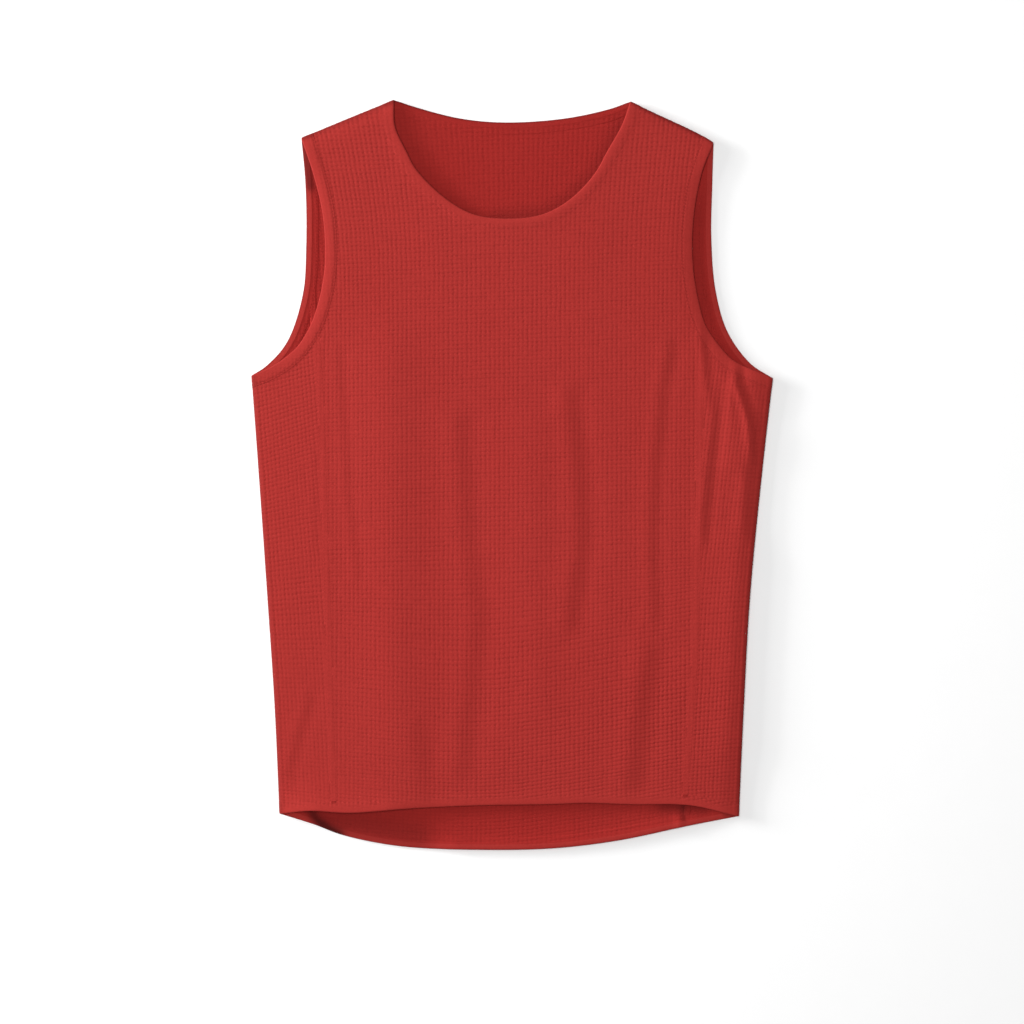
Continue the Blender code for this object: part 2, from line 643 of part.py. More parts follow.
def build():
    for old in list(bpy.data.objects):
        bpy.data.objects.remove(old, do_unlink=True)
    collection = bpy.data.collections.new("sleeveless_base_layer")
    bpy.context.scene.collection.children.link(collection)

    neck_front, neck_back = neck_rails()
    hem_front, hem_back = hem_rails()
    arms = {side.name: armhole_rails(side) for side in (LEFT, RIGHT)}
    front_seams, back_seams, wraps = {}, {}, {}
    for side in (LEFT, RIGHT):
        arm_front, arm_back = arms[side.name]
        front_seams[side.name] = seam_between(side.seam_front, arm_front.seam, hem_front.seam, FINE)
        back_seams[side.name] = seam_between(side.seam_back, arm_back.seam, hem_back.seam, FINE)
        wraps[side.name] = wrap_line(side, neck_back.seam, arm_back.seam)

    def wrap_outline(side, from_neck_to_arm):
        """The front past a shoulder fold: down the neck band's seam, across, up the armhole band's."""
        at_neck, at_arm = wraps[side.name]
        arm = cut(arms[side.name][1].seam, None, at_arm)
        if side is LEFT:
            neck = cut(neck_back.seam, None, at_neck)
        else:
            neck = cut(neck_back.seam, at_neck, None)[::-1]
        across = straight(neck[-1], arm[-1], FINE)
        points = mirrored_over_shoulder(side, np.vstack([neck, across, arm[::-1]]))
        return points if from_neck_to_arm else points[::-1]

    # Front: anticlockwise from the foot of the left seam.
    l_up, l_low, l_seam = front_seams["left"]
    r_up, r_low, r_seam = front_seams["right"]
    front_outline = rounded([
        cut(hem_front.seam, l_low, r_low),
        r_seam[::-1],
        cut(arms["right"][0].seam, None, r_up)[::-1],
        wrap_outline(RIGHT, from_neck_to_arm=False),
        neck_front.seam[::-1],
        wrap_outline(LEFT, from_neck_to_arm=True),
        cut(arms["left"][0].seam, None, l_up),
        l_seam,
    ])
    shoulders = [opened_shoulder(side) for side in (LEFT, RIGHT)]
    front = panel_mesh("front_panel", front_outline, FINE, on_front_layer, shoulders)
    cloth_object(front, CLOTH_RED, collection)

    # Back: under the front, its upper edge short of the shoulder folds.
    bl_up, bl_low, bl_seam = back_seams["left"]
    br_up, br_low, br_seam = back_seams["right"]
    l_neck, l_arm = wraps["left"]
    r_neck, r_arm = wraps["right"]
    back_outline = rounded([
        cut(hem_back.seam, bl_low, br_low),
        br_seam[::-1],
        cut(arms["right"][1].seam, r_arm, br_up)[::-1],
        straight(r_arm[1], r_neck[1], FINE),
        cut(neck_back.seam, l_neck, r_neck)[::-1],
        straight(l_neck[1], l_arm[1], FINE),
        cut(arms["left"][1].seam, l_arm, bl_up),
        bl_seam,
    ])
    back = panel_mesh("back_panel", back_outline, COARSE, on_back_layer)
    cloth_object(back, CLOTH_RED, collection, on_front=False)

    # Side panels: round the side folds from the front seams to the back seams.
    for side in (LEFT, RIGHT):
        f_up, f_low, f_seam = front_seams[side.name]
        b_up, b_low, b_seam = back_seams[side.name]
        arm_front, arm_back = arms[side.name]
        if side is LEFT:
            hem_on_front = cut(hem_front.seam, None, f_low)
            hem_on_back = cut(hem_back.seam, None, b_low)
        else:
            hem_on_front = cut(hem_front.seam, f_low, None)[::-1]
            hem_on_back = cut(hem_back.seam, b_low, None)[::-1]
        outline = rounded([
            f_seam,
            hem_on_front[::-1],
            mirrored_over_side(side, np.vstack([hem_on_back[1:], b_seam[::-1]])),
            mirrored_over_side(side, cut(arm_back.seam, b_up, None))[:-1],
            cut(arm_front.seam, f_up, None)[::-1],
        ])
        mesh = panel_mesh(side.name + "_side_panel", outline, FINE, on_side(side), [opened_side(side)])
        cloth_object(mesh, CLOTH_RED, collection)

    # Bands: closed strips round the neck, the armholes and the hem.
    cloth_object(band_mesh("neck_band", neck_front, neck_back), BAND_RED, collection)
    for side in (LEFT, RIGHT):
        mesh = band_mesh(side.name + "_armhole_band", *arms[side.name])
        cloth_object(mesh, BAND_RED, collection)
    cloth_object(band_mesh("hem_band", hem_front, hem_back), BAND_RED, collection)


build()
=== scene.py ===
"""Looks of a sleeveless base layer of waffle knit, laid flat with its front up and its neck towards +Y.

The back layer lies on the surface and the front layer on it, and the cloth rounds a fold along each side
and each shoulder. Each panel is a thin shell with the pillows and pits of the knit on its outer face. Bands
bind the free edges and flat seams join the panels.

Sizes in the tables are millimetres: x across the body, y up the body, z up from the surface.
"""
import math
from collections import namedtuple

import bpy
import numpy as np
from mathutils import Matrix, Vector


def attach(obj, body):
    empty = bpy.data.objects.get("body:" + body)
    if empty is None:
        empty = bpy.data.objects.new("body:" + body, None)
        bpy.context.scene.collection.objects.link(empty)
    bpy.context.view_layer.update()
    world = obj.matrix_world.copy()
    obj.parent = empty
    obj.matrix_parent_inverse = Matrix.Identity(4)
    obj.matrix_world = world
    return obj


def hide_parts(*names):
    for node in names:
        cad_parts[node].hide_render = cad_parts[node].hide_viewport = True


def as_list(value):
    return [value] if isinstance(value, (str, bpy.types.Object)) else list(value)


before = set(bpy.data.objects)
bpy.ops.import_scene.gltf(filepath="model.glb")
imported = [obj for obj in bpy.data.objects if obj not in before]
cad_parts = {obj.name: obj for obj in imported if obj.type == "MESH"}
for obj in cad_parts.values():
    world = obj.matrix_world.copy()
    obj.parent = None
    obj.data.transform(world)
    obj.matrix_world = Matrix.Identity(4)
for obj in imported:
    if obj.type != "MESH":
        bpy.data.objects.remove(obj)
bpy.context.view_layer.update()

MM = 0.001
BODY = "root"

# Cloth
WALL = 1.1  # thickness of the waffle knit
BAND_WIDTH = 10.4  # bands at the neck, the armholes and the hem
BAND_AT_FOLD = 11.0  # the same, measured along a fold that the band crosses
BAND_END = 1.6 * BAND_WIDTH  # this near to a fold, a band's seam leaves its edge's line
TUCK = 4.2  # how far a panel reaches under a band
SEAM_TAPE = 5.8  # width of the flat seams down the body

# Folds at the edges of the laid garment
SIDE_FOLD = 2.1  # radius: half of the height of the two layers at the side
SHOULDER_FOLD = 1.9  # the same at the shoulder
SHOULDER_WRAP = 5.0  # how far the front reaches past the shoulder fold, under the garment
FOLD_STEPS = 8  # sections of a band in each quarter turn
FOLD_SHADE_WIDTH = 2.6  # how far in from a fold, seen from above, the painted shade along its crown reaches

# Height of the front layer's outer face, and the y between which it changes
FRONT_HEIGHT = 5.6
HEM_HEIGHT, HEM_CHANGE = 5.0, (-235, -280)
SHOULDER_HEIGHT, SHOULDER_CHANGE = 5.2, (250, 290)
SHOULDER_DROP, SHOULDER_DROP_WIDTH = 0.9, 8.0  # the front sinks by this much towards a shoulder fold
LIFT_FADE = 50.0  # the free edges stand up from this far inside the folds

# Waffle knit: small pillows between grooves, with a pit where two grooves cross
PILLOW = 0.095  # height of a pillow above the panel's own face
COLUMN_GROOVE, ROW_GROOVE, PIT = 0.0, -0.6, -1.0  # shares of it between columns, between rows, at a crossing
RELIEF_RISE, KNIT_RISE = (3.2, 7.0), (1.0, 4.6)  # distances from a panel's outline where the two come up
FOLD_RELIEF, FOLD_RELIEF_WIDTH = 0.3, 4.0  # share of the relief on a fold
COLUMN_PITCHES = [(-170, 3.3), (-139, 3.5), (-110, 3.65), (-80, 3.82), (0, 3.88), (95, 3.9), (123, 3.75),
                  (155, 3.5)]
ROW_PITCHES = [(330, 3.5), (60, 3.56), (-20, 3.62), (-60, 3.95), (-96, 4.26), (-160, 4.12), (-196, 3.74),
               (-230, 3.4), (-262, 3.05), (-330, 3.0)]
KNIT_SPOTS = [  # (x, y, radius, gain): where the waffle shows more
    (-130, 270, 50, 0.2), (130, 270, 50, 0.2), (125, -195, 45, 0.45), (165, -235, 35, 0.15),
    (0, -240, 70, 0.1), (-185, 40, 60, -0.25), (-185, -40, 60, -0.25), (-185, -180, 60, -0.35),
    (-150, -255, 45, -0.25),
]
SIDE_PITCH = 3.35  # columns of the side panels
SLOPES_FROM = 30.0  # a side panel's rows turn about this far inside its fold, on the front
ROW_RISE = 0.036  # the front's rows rise to the right
SAG, SAG_MIDDLE, SAG_WIDTH, SAG_CHANGE = 5.8, -28.0, 45.0, (-54, -150)  # low down, they sag at its middle
FAN, RIGHT_FAN, FAN_START, FAN_SOFT = 0.0014, 0.6, 205.0, 18.0  # high up, the columns fan out
MEAN_PITCH = 3.8

CURVE_POINTS = 240  # along a curve before it is sampled for a piece
SPLINE_STEPS = 40  # between two given points of a curve
PART_SIZE = 2000  # points that are compared with an outline at once
GUESSES = 8  # at the column and the row of a place
TINY = 1e-12

Side = namedtuple("Side", "name sign shoulder armhole_front armhole_back side_edge seam_front seam_back "
                          "row_slopes drop drop_width arm_lift arm_width crown")
Fold = namedtuple("Fold", "chain width height")
Roll = namedtuple("Roll", "chain width drop")

# Curves are given by points that they pass through. row_slopes say how a side panel's rows rise to the right:
# (y, rise). The front layer sinks by drop towards the side fold and rises by arm_lift at the armhole, and
# crown is how much painted shade darkens the cloth along the folds.
LEFT = Side(
    name="left", sign=-1,
    shoulder=[(-175, 279.8), (-136, 296), (-98, 311.5)],
    armhole_front=[(-175, 279.8), (-164.5, 248), (-156.6, 212), (-156, 167), (-165.2, 129), (-177.2, 107.5),
                   (-189.5, 96.3), (-202, 88.3), (-216.4, 82.5)],
    armhole_back=[(-175, 279.8), (-171.6, 241), (-171, 190), (-173.8, 150), (-187, 110.2), (-204.4, 90.3),
                  (-216.4, 82.5)],
    side_edge=[(-216.4, 82.5), (-210.3, 0), (-203.3, -100), (-197.3, -190), (-193.1, -281.5)],
    seam_front=[(-163, 135), (-157.7, 45), (-156, -21), (-153.6, -87), (-151.1, -170), (-147.5, -290)],
    seam_back=[(-166, 175), (-163, 45), (-162, -87), (-160, -310)],
    row_slopes=[(-290, -0.12), (-230, -0.09), (-160, -0.02), (-96, 0.10), (-62, 0.16), (-30, 0.21), (4, 0.28),
                (38, 0.34), (70, 0.27), (150, 0.25)],
    drop=0.15, drop_width=9, arm_lift=-0.25, arm_width=12, crown=0.72,
)
RIGHT = Side(
    name="right", sign=1,
    shoulder=[(98.3, 310.1), (120.4, 299.6), (143.6, 288.9), (158.5, 281.4), (167.5, 275.8)],
    armhole_front=[(167.5, 275.8), (157.4, 250), (150.6, 212), (150.2, 174), (155.9, 139.3), (161.5, 122.5),
                   (175, 103.6), (184.5, 94.5), (216.6, 80.3)],
    armhole_back=[(167.5, 275.8), (166.4, 241), (165.6, 197), (169, 154.2), (179, 119), (198, 92.6),
                  (216.6, 80.3)],
    side_edge=[(216.6, 80.3), (207.5, 0), (197.8, -100), (192.7, -190), (188.4, -283.6)],
    seam_front=[(159, 135), (156, 45), (154.4, -21), (153.6, -87), (151.9, -145), (141.5, -290)],
    seam_back=[(164, 175), (161, 45), (156, -87), (144, -310)],
    row_slopes=[(-290, 0.05), (-190, 0.12), (-120, 0.08), (-60, 0.02), (0, -0.02), (70, -0.06), (150, -0.08)],
    drop=1.3, drop_width=10, arm_lift=-0.7, arm_width=10, crown=0.4,
)
SIDES = (LEFT, RIGHT)
LEFT_NECK, RIGHT_NECK = LEFT.shoulder[-1], RIGHT.shoulder[0]
LEFT_HEM, RIGHT_HEM = LEFT.side_edge[-1], RIGHT.side_edge[-1]
NECK_FRONT = [LEFT_NECK, (-97, 289), (-88.2, 269.6), (-79.2, 253), (-54.5, 228.9), (-31, 215.9),
              (-2, 212.5), (25, 215.9), (47.7, 228.1), (68, 249), (79.7, 269.6), (91.3, 290.3), RIGHT_NECK]
NECK_BACK = [LEFT_NECK, (-80.5, 305.6), (-43.2, 296.1), (-5.8, 292.8), (44, 296.1), (81.3, 304), RIGHT_NECK]
HEM_FRONT = [LEFT_HEM, (-167.7, -278.6), (-134.5, -280.2), (-88, -277), (-26.6, -274.4), (34, -273.4),
             (60, -272.4), (100, -273.6), (147.7, -274.4), RIGHT_HEM]
HEM_BACK = [LEFT_HEM, (-165, -290.3), (-140.3, -299.4), (-93, -308.6), (-26.6, -311.4), (34, -310.2),
            (89.2, -303.5), (144.4, -291.9), RIGHT_HEM]

# Soft folds of the front layer, each along a chain of points. At the width from it, about a third is left.
FRONT_FOLDS = [Fold(*row) for row in [
    ([(-104, 94), (-100, -4), (-96, -216)], 28, 1.1),  # long ridge down the left
    ([(16, 40), (20, -190)], 18, 0.5),
    ([(182, 70), (182, 10)], 9, 0.8),
    ([(195, -75), (187, -215)], 24, 1.35),
    ([(-60, 200), (60, 196)], 24, 0.4),  # low swell under the neckline
    ([(-158, -292), (-108, -296)], 31, 4.4),  # the hem stands up on the left
]]
# Rolls: the front layer falls by drop to the right across a chain, from a low ridge to a low trough
ROLLS = [Roll(*row) for row in [
    ([(-41, 40), (-35, -54), (-27, -120), (-34, -187), (-39, -240)], 13, 0.8),
    ([(50, 62), (56, 12), (59, -54), (50, -120)], 12, 1),
    ([(132, 100), (126, 72), (120, 12), (117, -54), (119, -115)], 8, 0.65),
    ([(116, -150), (109, -187), (102, -250)], 14, 1.15),
    ([(159, 112), (162, 87), (164, 68)], 5, 0.75),  # from the right armhole
    ([(171, 65), (168.5, 37), (163.5, -4), (160, -46)], 6, 1),
    ([(188, 76), (194, 60), (199, 41), (201, 20)], 4.5, 2.2),  # hollow under the right arm
    ([(201, 40), (199, 10), (197, -40)], 9, 1.7),
    ([(177, 75), (176, 66)], 2.2, 0.2),
    ([(183, 73), (182.5, 62)], 2.2, 0.22),
    ([(-143, 94), (-139, 40), (-135, -20), (-128, -80)], 6, 0.3),
    ([(-163, 10), (-163, -50)], 5, 0.15),
    ([(-168, -190), (-176, -215), (-184, -245)], 7, 0.4),
    ([(-76, -215), (-72, -262)], 14, 0.6),
]]
# The back layer where the hem's opening shows it, with a crease at the right side seam
BACK_ROLLS = [Roll([(140.5, -272), (142.5, -294)], 4, 1.6)]
# Painted shade in hollows between the layers: the back layer's cloth is darkened by a share that is the
# height
PAINTED_HOLLOW_SHADE = [Fold(*row) for row in [
    ([(-167, -279), (-162, -287), (-152, -295), (-144, -299)], 5, 0.8),
    ([(-150, -289), (-112, -295), (-78, -300)], 13, 0.36),
    ([(126, -274), (158, -276)], 6.5, 0.5),
    ([(141.5, -276), (142.5, -287)], 2.6, 0.4),
    ([(178, -282), (187, -283)], 3, 0.45),
    ([(-10, 213), (25, 216), (47.7, 228.1), (68, 249), (79.7, 269.6), (91.3, 290.3)], 7.5, 0.33),
    ([(150, 214), (149.8, 174), (156.5, 140)], 16, 0.12),
    ([(-174, 276), (-171, 256), (-168, 240)], 5.5, 0.7),
]]
PAINTED_SHADE_BELOW = 3.0  # only cloth below this height
ROLL_FADE = 22.0  # a roll dies away over this length past each end of its chain


# ---- curves

def blend(a, b, start, end, t):
    """a where t is at start, b where it is at end, and straight on."""
    return (end - t) / (end - start) * a + (t - start) / (end - start) * b


def spline(points, count=CURVE_POINTS):
    """Points evenly spaced on a smooth curve (Catmull-Rom) through the given ones."""
    p = np.asarray(points, float)
    p = np.vstack([2 * p[0] - p[1], p, 2 * p[-1] - p[-2]])
    knots = np.concatenate([[0], np.cumsum(np.sqrt(np.linalg.norm(np.diff(p, axis=0), axis=1)))])
    pieces = []
    for i in range(1, len(p) - 2):
        t = np.linspace(knots[i], knots[i + 1], SPLINE_STEPS, endpoint=i == len(p) - 3)[:, None]
        t0, t1, t2, t3 = knots[i - 1:i + 3]
        p0, p1, p2, p3 = p[i - 1:i + 3]
        before, within = blend(p0, p1, t0, t1, t), blend(p1, p2, t1, t2, t)
        after = blend(p2, p3, t2, t3, t)
        pieces.append(blend(blend(before, within, t0, t2, t), blend(within, after, t1, t3, t), t1, t2, t))
    dense = np.vstack(pieces)
    return at_lengths(dense, np.linspace(0, lengths(dense)[-1], count))


def lengths(curve):
    """Length along a curve up to each of its points."""
    return np.concatenate([[0], np.cumsum(np.linalg.norm(np.diff(curve, axis=0), axis=1))])


def at_lengths(curve, marks):
    """Points of a curve at the given lengths along it."""
    s = lengths(curve)
    return np.column_stack([np.interp(marks, s, values) for values in curve.T])


def unit(vectors):
    return vectors / np.maximum(np.linalg.norm(vectors, axis=-1, keepdims=True), TINY)


def offset(curve, distance):
    """A curve moved to its left."""
    along = unit(np.gradient(curve, axis=0))
    return curve + distance * np.column_stack([-along[:, 1], along[:, 0]])


def smooth(value, start, end):
    """0 at start and 1 at end, with soft ends."""
    t = np.clip((value - start) / (end - start), 0, 1)
    return t * t * (3 - 2 * t)


def bell(distance, width):
    """1 at no distance, and about a third at the width."""
    return np.exp(-(distance / width) ** 2)


# ---- the laid form

class EdgeFold:
    """A rounded fold of the laid garment. axis is the coordinate across it. A panel that rounds it is drawn
    flat, and an arc is a length of cloth from the crown: above 0 on the front, below 0 on the back."""

    def __init__(self, points, radius, axis, outward):
        self.curve, self.radius, self.axis, self.outward = spline(points), radius, axis, outward
        (x1, y1), (x2, y2) = points[0], points[-1]
        self.slope = math.cos(math.atan2(y2 - y1, x2 - x1)) if axis else 1.0  # of a shoulder
        self.extra = radius * (math.pi / 2 - 1)  # how much more cloth the turn holds than it covers

    def crown(self, along):
        """Where the crown lies across the fold, carried on straight past both ends."""
        curve = self.curve if self.axis else self.curve[::-1]
        xs, ys = curve[:, 1 - self.axis], curve[:, self.axis]
        low, high = (ys[4] - ys[0]) / (xs[4] - xs[0]), (ys[-1] - ys[-5]) / (xs[-1] - xs[-5])
        result = np.where(along < xs[0], ys[0] + (along - xs[0]) * low, np.interp(along, xs, ys))
        return np.where(along > xs[-1], ys[-1] + (along - xs[-1]) * high, result)

    def depth(self, x, y):
        """Distance inside the fold, seen from above."""
        return self.outward * (self.crown((x, y)[1 - self.axis]) - (x, y)[self.axis]) * self.slope

    def rise(self, x, y):
        """Height share of the rounded cloth, from 0 on the crown to 1 where it lies flat."""
        return np.sqrt(1 - (1 - np.clip(self.depth(x, y) / self.radius, 0, 1)) ** 2)

    def beyond(self, x, y, distance):
        """Places past the crown by a distance, level with the given ones."""
        along = (x, y)[1 - self.axis]
        across = self.crown(along) + self.outward * distance / self.slope
        return (along, across) if self.axis else (across, along)

    def laid(self, x, y):
        """Where a point of the flat cloth comes to lie: x, y and whether on the back layer."""
        arc = self.depth(x, y) + self.extra
        length = np.abs(arc)
        on_turn = self.radius * (1 - np.cos(np.clip(length / self.radius, 0, math.pi / 2)))
        depth = np.where(length < self.radius * math.pi / 2, on_turn, length - self.extra)
        return (*self.beyond(x, y, -depth), arc < 0)

    def flattened(self, points):
        """Points of the back layer in the flat cloth's own plane."""
        x, y = points.T
        depth = np.maximum(self.depth(x, y), 0)
        on_turn = self.radius * np.arccos(np.clip(1 - depth / self.radius, -1, 1))
        arc = np.where(depth < self.radius, on_turn, depth + self.extra)
        return np.column_stack(self.beyond(x, y, arc + self.extra))


FLANK = {side.name: EdgeFold(side.side_edge, SIDE_FOLD, 0, side.sign) for side in SIDES}
SHOULDER = {side.name: EdgeFold(side.shoulder, SHOULDER_FOLD, 1, 1) for side in SIDES}
FOLDS = {side.name: (FLANK[side.name], SHOULDER[side.name]) for side in SIDES}
ALL_FOLDS = FOLDS["left"] + FOLDS["right"]

Lift = namedtuple("Lift", "edge width height curl")
# How the front layer stands up at a free edge, or sinks, and curls down in its last few millimetres
LIFTS = [
    Lift(spline(NECK_FRONT, 24), 13, 0.3, 0.15),
    Lift(spline(HEM_FRONT, 24), 12, 0.3, 0.2),
] + [Lift(spline(side.armhole_front, 16), side.arm_width, side.arm_lift, 0.35) for side in SIDES]
BACK_LIFT = Lift(spline(HEM_BACK, 24)[9:], 14, 1.7, 0)
CURL_WIDTH = 3.0


def from_chain(chain, x, y):
    """Distance from a chain of straight stretches."""
    nearest = np.inf
    for (x1, y1), (x2, y2) in zip(chain, chain[1:]):
        run_x, run_y = x2 - x1, y2 - y1
        share = np.clip(((x - x1) * run_x + (y - y1) * run_y) / (run_x ** 2 + run_y ** 2), 0, 1)
        nearest = np.minimum(nearest, np.hypot(x - x1 - share * run_x, y - y1 - share * run_y))
    return nearest


def from_folds(x, y, folds=ALL_FOLDS):
    return np.maximum(np.min([fold.depth(x, y) for fold in folds], axis=0), 0)


def folded(folds, x, y):
    return sum(fold.height * bell(from_chain(fold.chain, x, y), fold.width) for fold in folds)


def rolled(rolls, x, y):
    height = 0
    for roll in rolls:
        xs, ys = np.array(roll.chain, float)[::-1].T
        t = (x - np.interp(y, ys, xs)) / roll.width
        fade = smooth(y, ys[0] - ROLL_FADE, ys[0]) * smooth(y, ys[-1] + ROLL_FADE, ys[-1])
        height = height - roll.drop * t * bell(t, 1) * fade
    return height


def lifted(lifts, x, y):
    rise = 0
    for lift in lifts:
        away = from_chain(lift.edge, x, y)
        rise = rise + lift.height * bell(away, lift.width) - lift.curl * bell(away, CURL_WIDTH)
    return rise * smooth(from_folds(x, y), 0, LIFT_FADE)


def sunk(x, y):
    return sum(side.drop * bell(from_folds(x, y, FOLDS[side.name][:1]), side.drop_width)
               + SHOULDER_DROP * bell(from_folds(x, y, FOLDS[side.name][1:]), SHOULDER_DROP_WIDTH)
               for side in SIDES)


def painted_fold_shade(x, y):
    """Painted shade along the crowns of the folds, strongest on a crown."""
    return np.max([side.crown * bell(from_folds(x, y, FOLDS[side.name]), FOLD_SHADE_WIDTH) for side in SIDES],
                  axis=0)


def top(x, y):
    """Height of the front layer's outer face."""
    height = (FRONT_HEIGHT + (HEM_HEIGHT - FRONT_HEIGHT) * smooth(y, *HEM_CHANGE)
              + (SHOULDER_HEIGHT - FRONT_HEIGHT) * smooth(y, *SHOULDER_CHANGE)
              + folded(FRONT_FOLDS, x, y) + rolled(ROLLS, x, y) + lifted(LIFTS, x, y) - sunk(x, y))
    for fold in ALL_FOLDS:
        height = fold.radius + (height - fold.radius) * fold.rise(x, y)
    return height


def bottom(x, y):
    """The same of the back layer, which is flat but at the hem and on the folds."""
    height = np.maximum(rolled(BACK_ROLLS, x, y), 0) + lifted([BACK_LIFT], x, y)
    return np.max([height] + [fold.radius * (1 - fold.rise(x, y)) for fold in ALL_FOLDS], axis=0)


def on_layer(x, y, on_back):
    """Points on the outer face of a layer."""
    return np.dstack([x, y, np.where(on_back, bottom(x, y), top(x, y))])


def facing_out(points):
    """Directions square to a grid of points."""
    return unit(np.cross(np.gradient(points, axis=0), np.gradient(points, axis=1)))


def laid_front(x, y):
    left, right = (SHOULDER[side.name].laid(x, y) for side in SIDES)
    return [np.where(x > 0, at_right, at_left) for at_left, at_right in zip(left, right)]


def laid_back(x, y):
    return x, y, True


# ---- free edges and seams
# A free edge runs on both layers from its first fold to its last. A fold comes with True where the edge is at
# the end of the fold's curve. inward is the side of the edge that has the cloth.

Edge = namedtuple("Edge", "layers first last inward spacing")
EDGES = {
    "neck_band": Edge((NECK_FRONT, NECK_BACK), (SHOULDER["left"], True), (SHOULDER["right"], False), -1, 2.4),
    **{side.name + "_armhole_band": Edge((side.armhole_front, side.armhole_back),
                                         (SHOULDER[side.name], side is RIGHT), (FLANK[side.name], False),
                                         -side.sign, 2.4) for side in SIDES},
    "hem_band": Edge((HEM_FRONT, HEM_BACK), (FLANK["left"], True), (FLANK["right"], True), 1, 2.6),
}


def band_seams(edge, tuck=0.0):
    """The lines where a band meets the panels, on the front and on the back."""
    first, last = (at_lengths(fold.curve, [lengths(fold.curve)[-1] - BAND_AT_FOLD + tuck if at_end
                                           else BAND_AT_FOLD - tuck])[0]
                   for fold, at_end in (edge.first, edge.last))
    seams = []
    for line in map(spline, edge.layers):
        reach = lengths(line)
        beside = offset(line, edge.inward * (BAND_WIDTH - tuck))
        beside = beside[(reach > BAND_END) & (reach < reach[-1] - BAND_END)]
        seams.append(spline([first, *at_lengths(beside, np.linspace(0, lengths(beside)[-1], 9)), last]))
    return seams


# ---- outlines of the panels

def turn(a, b):
    """Area between two directions, below 0 for a clockwise turn."""
    return a[..., 0] * b[..., 1] - a[..., 1] * b[..., 0]


def crossing(curve, other):
    """Index along curve of the segment that other crosses, and the crossing point."""
    a, b = curve[:-1, None], curve[1:, None]
    c, d = other[None, :-1], other[None, 1:]
    whole = turn(b - a, d - c)
    whole = np.where(np.abs(whole) < TINY, np.inf, whole)
    t, u = turn(c - a, d - c) / whole, turn(c - a, b - a) / whole
    i, j = np.argwhere((t >= 0) & (t <= 1) & (u >= 0) & (u <= 1) & np.isfinite(whole))[0]
    return i, curve[i] + t[i, j] * (curve[i + 1] - curve[i])


def cut(curve, start, end):
    """The stretch of a curve between two crossings, or None for its own ends."""
    first, before = (0, []) if start is None else (start[0] + 1, [start[1]])
    last, after = (len(curve), []) if end is None else (end[0] + 1, [end[1]])
    return np.array([*before, *curve[first:last], *after])


def in_parts(work, points):
    """Work done on a few points at a time."""
    parts = np.array_split(points, max(1, len(points) // PART_SIZE))
    return np.concatenate([work(part) for part in parts])


def inside(points, polygon):
    a, b = polygon, np.roll(polygon, -1, axis=0)
    rise = np.where(b[:, 1] == a[:, 1], 1, b[:, 1] - a[:, 1])

    def work(part):
        x, y = part[:, 0, None], part[:, 1, None]
        hits = ((a[:, 1] > y) != (b[:, 1] > y)) & (x < (b[:, 0] - a[:, 0]) * (y - a[:, 1]) / rise + a[:, 0])
        return hits.sum(axis=1) % 2 == 1
    return in_parts(work, points)


def nearest_on(points, polygon):
    """The nearest place on a closed outline to each point."""
    run = np.roll(polygon, -1, axis=0) - polygon

    def work(part):
        rel = part[:, None, :] - polygon
        share = np.clip((rel * run).sum(2) / np.maximum((run * run).sum(1), TINY), 0, 1)
        feet = polygon + share[..., None] * run
        best = ((part[:, None, :] - feet) ** 2).sum(axis=2).argmin(axis=1)
        return feet[np.arange(len(part)), best]
    return in_parts(work, points)


SHORTEST = 0.05  # step of an outline


def without_repeats(stretches):
    """One closed outline from stretches laid end to end."""
    outline = np.vstack(stretches)
    step = np.linalg.norm(outline - np.roll(outline, 1, axis=0), axis=1)
    return outline[step > SHORTEST]


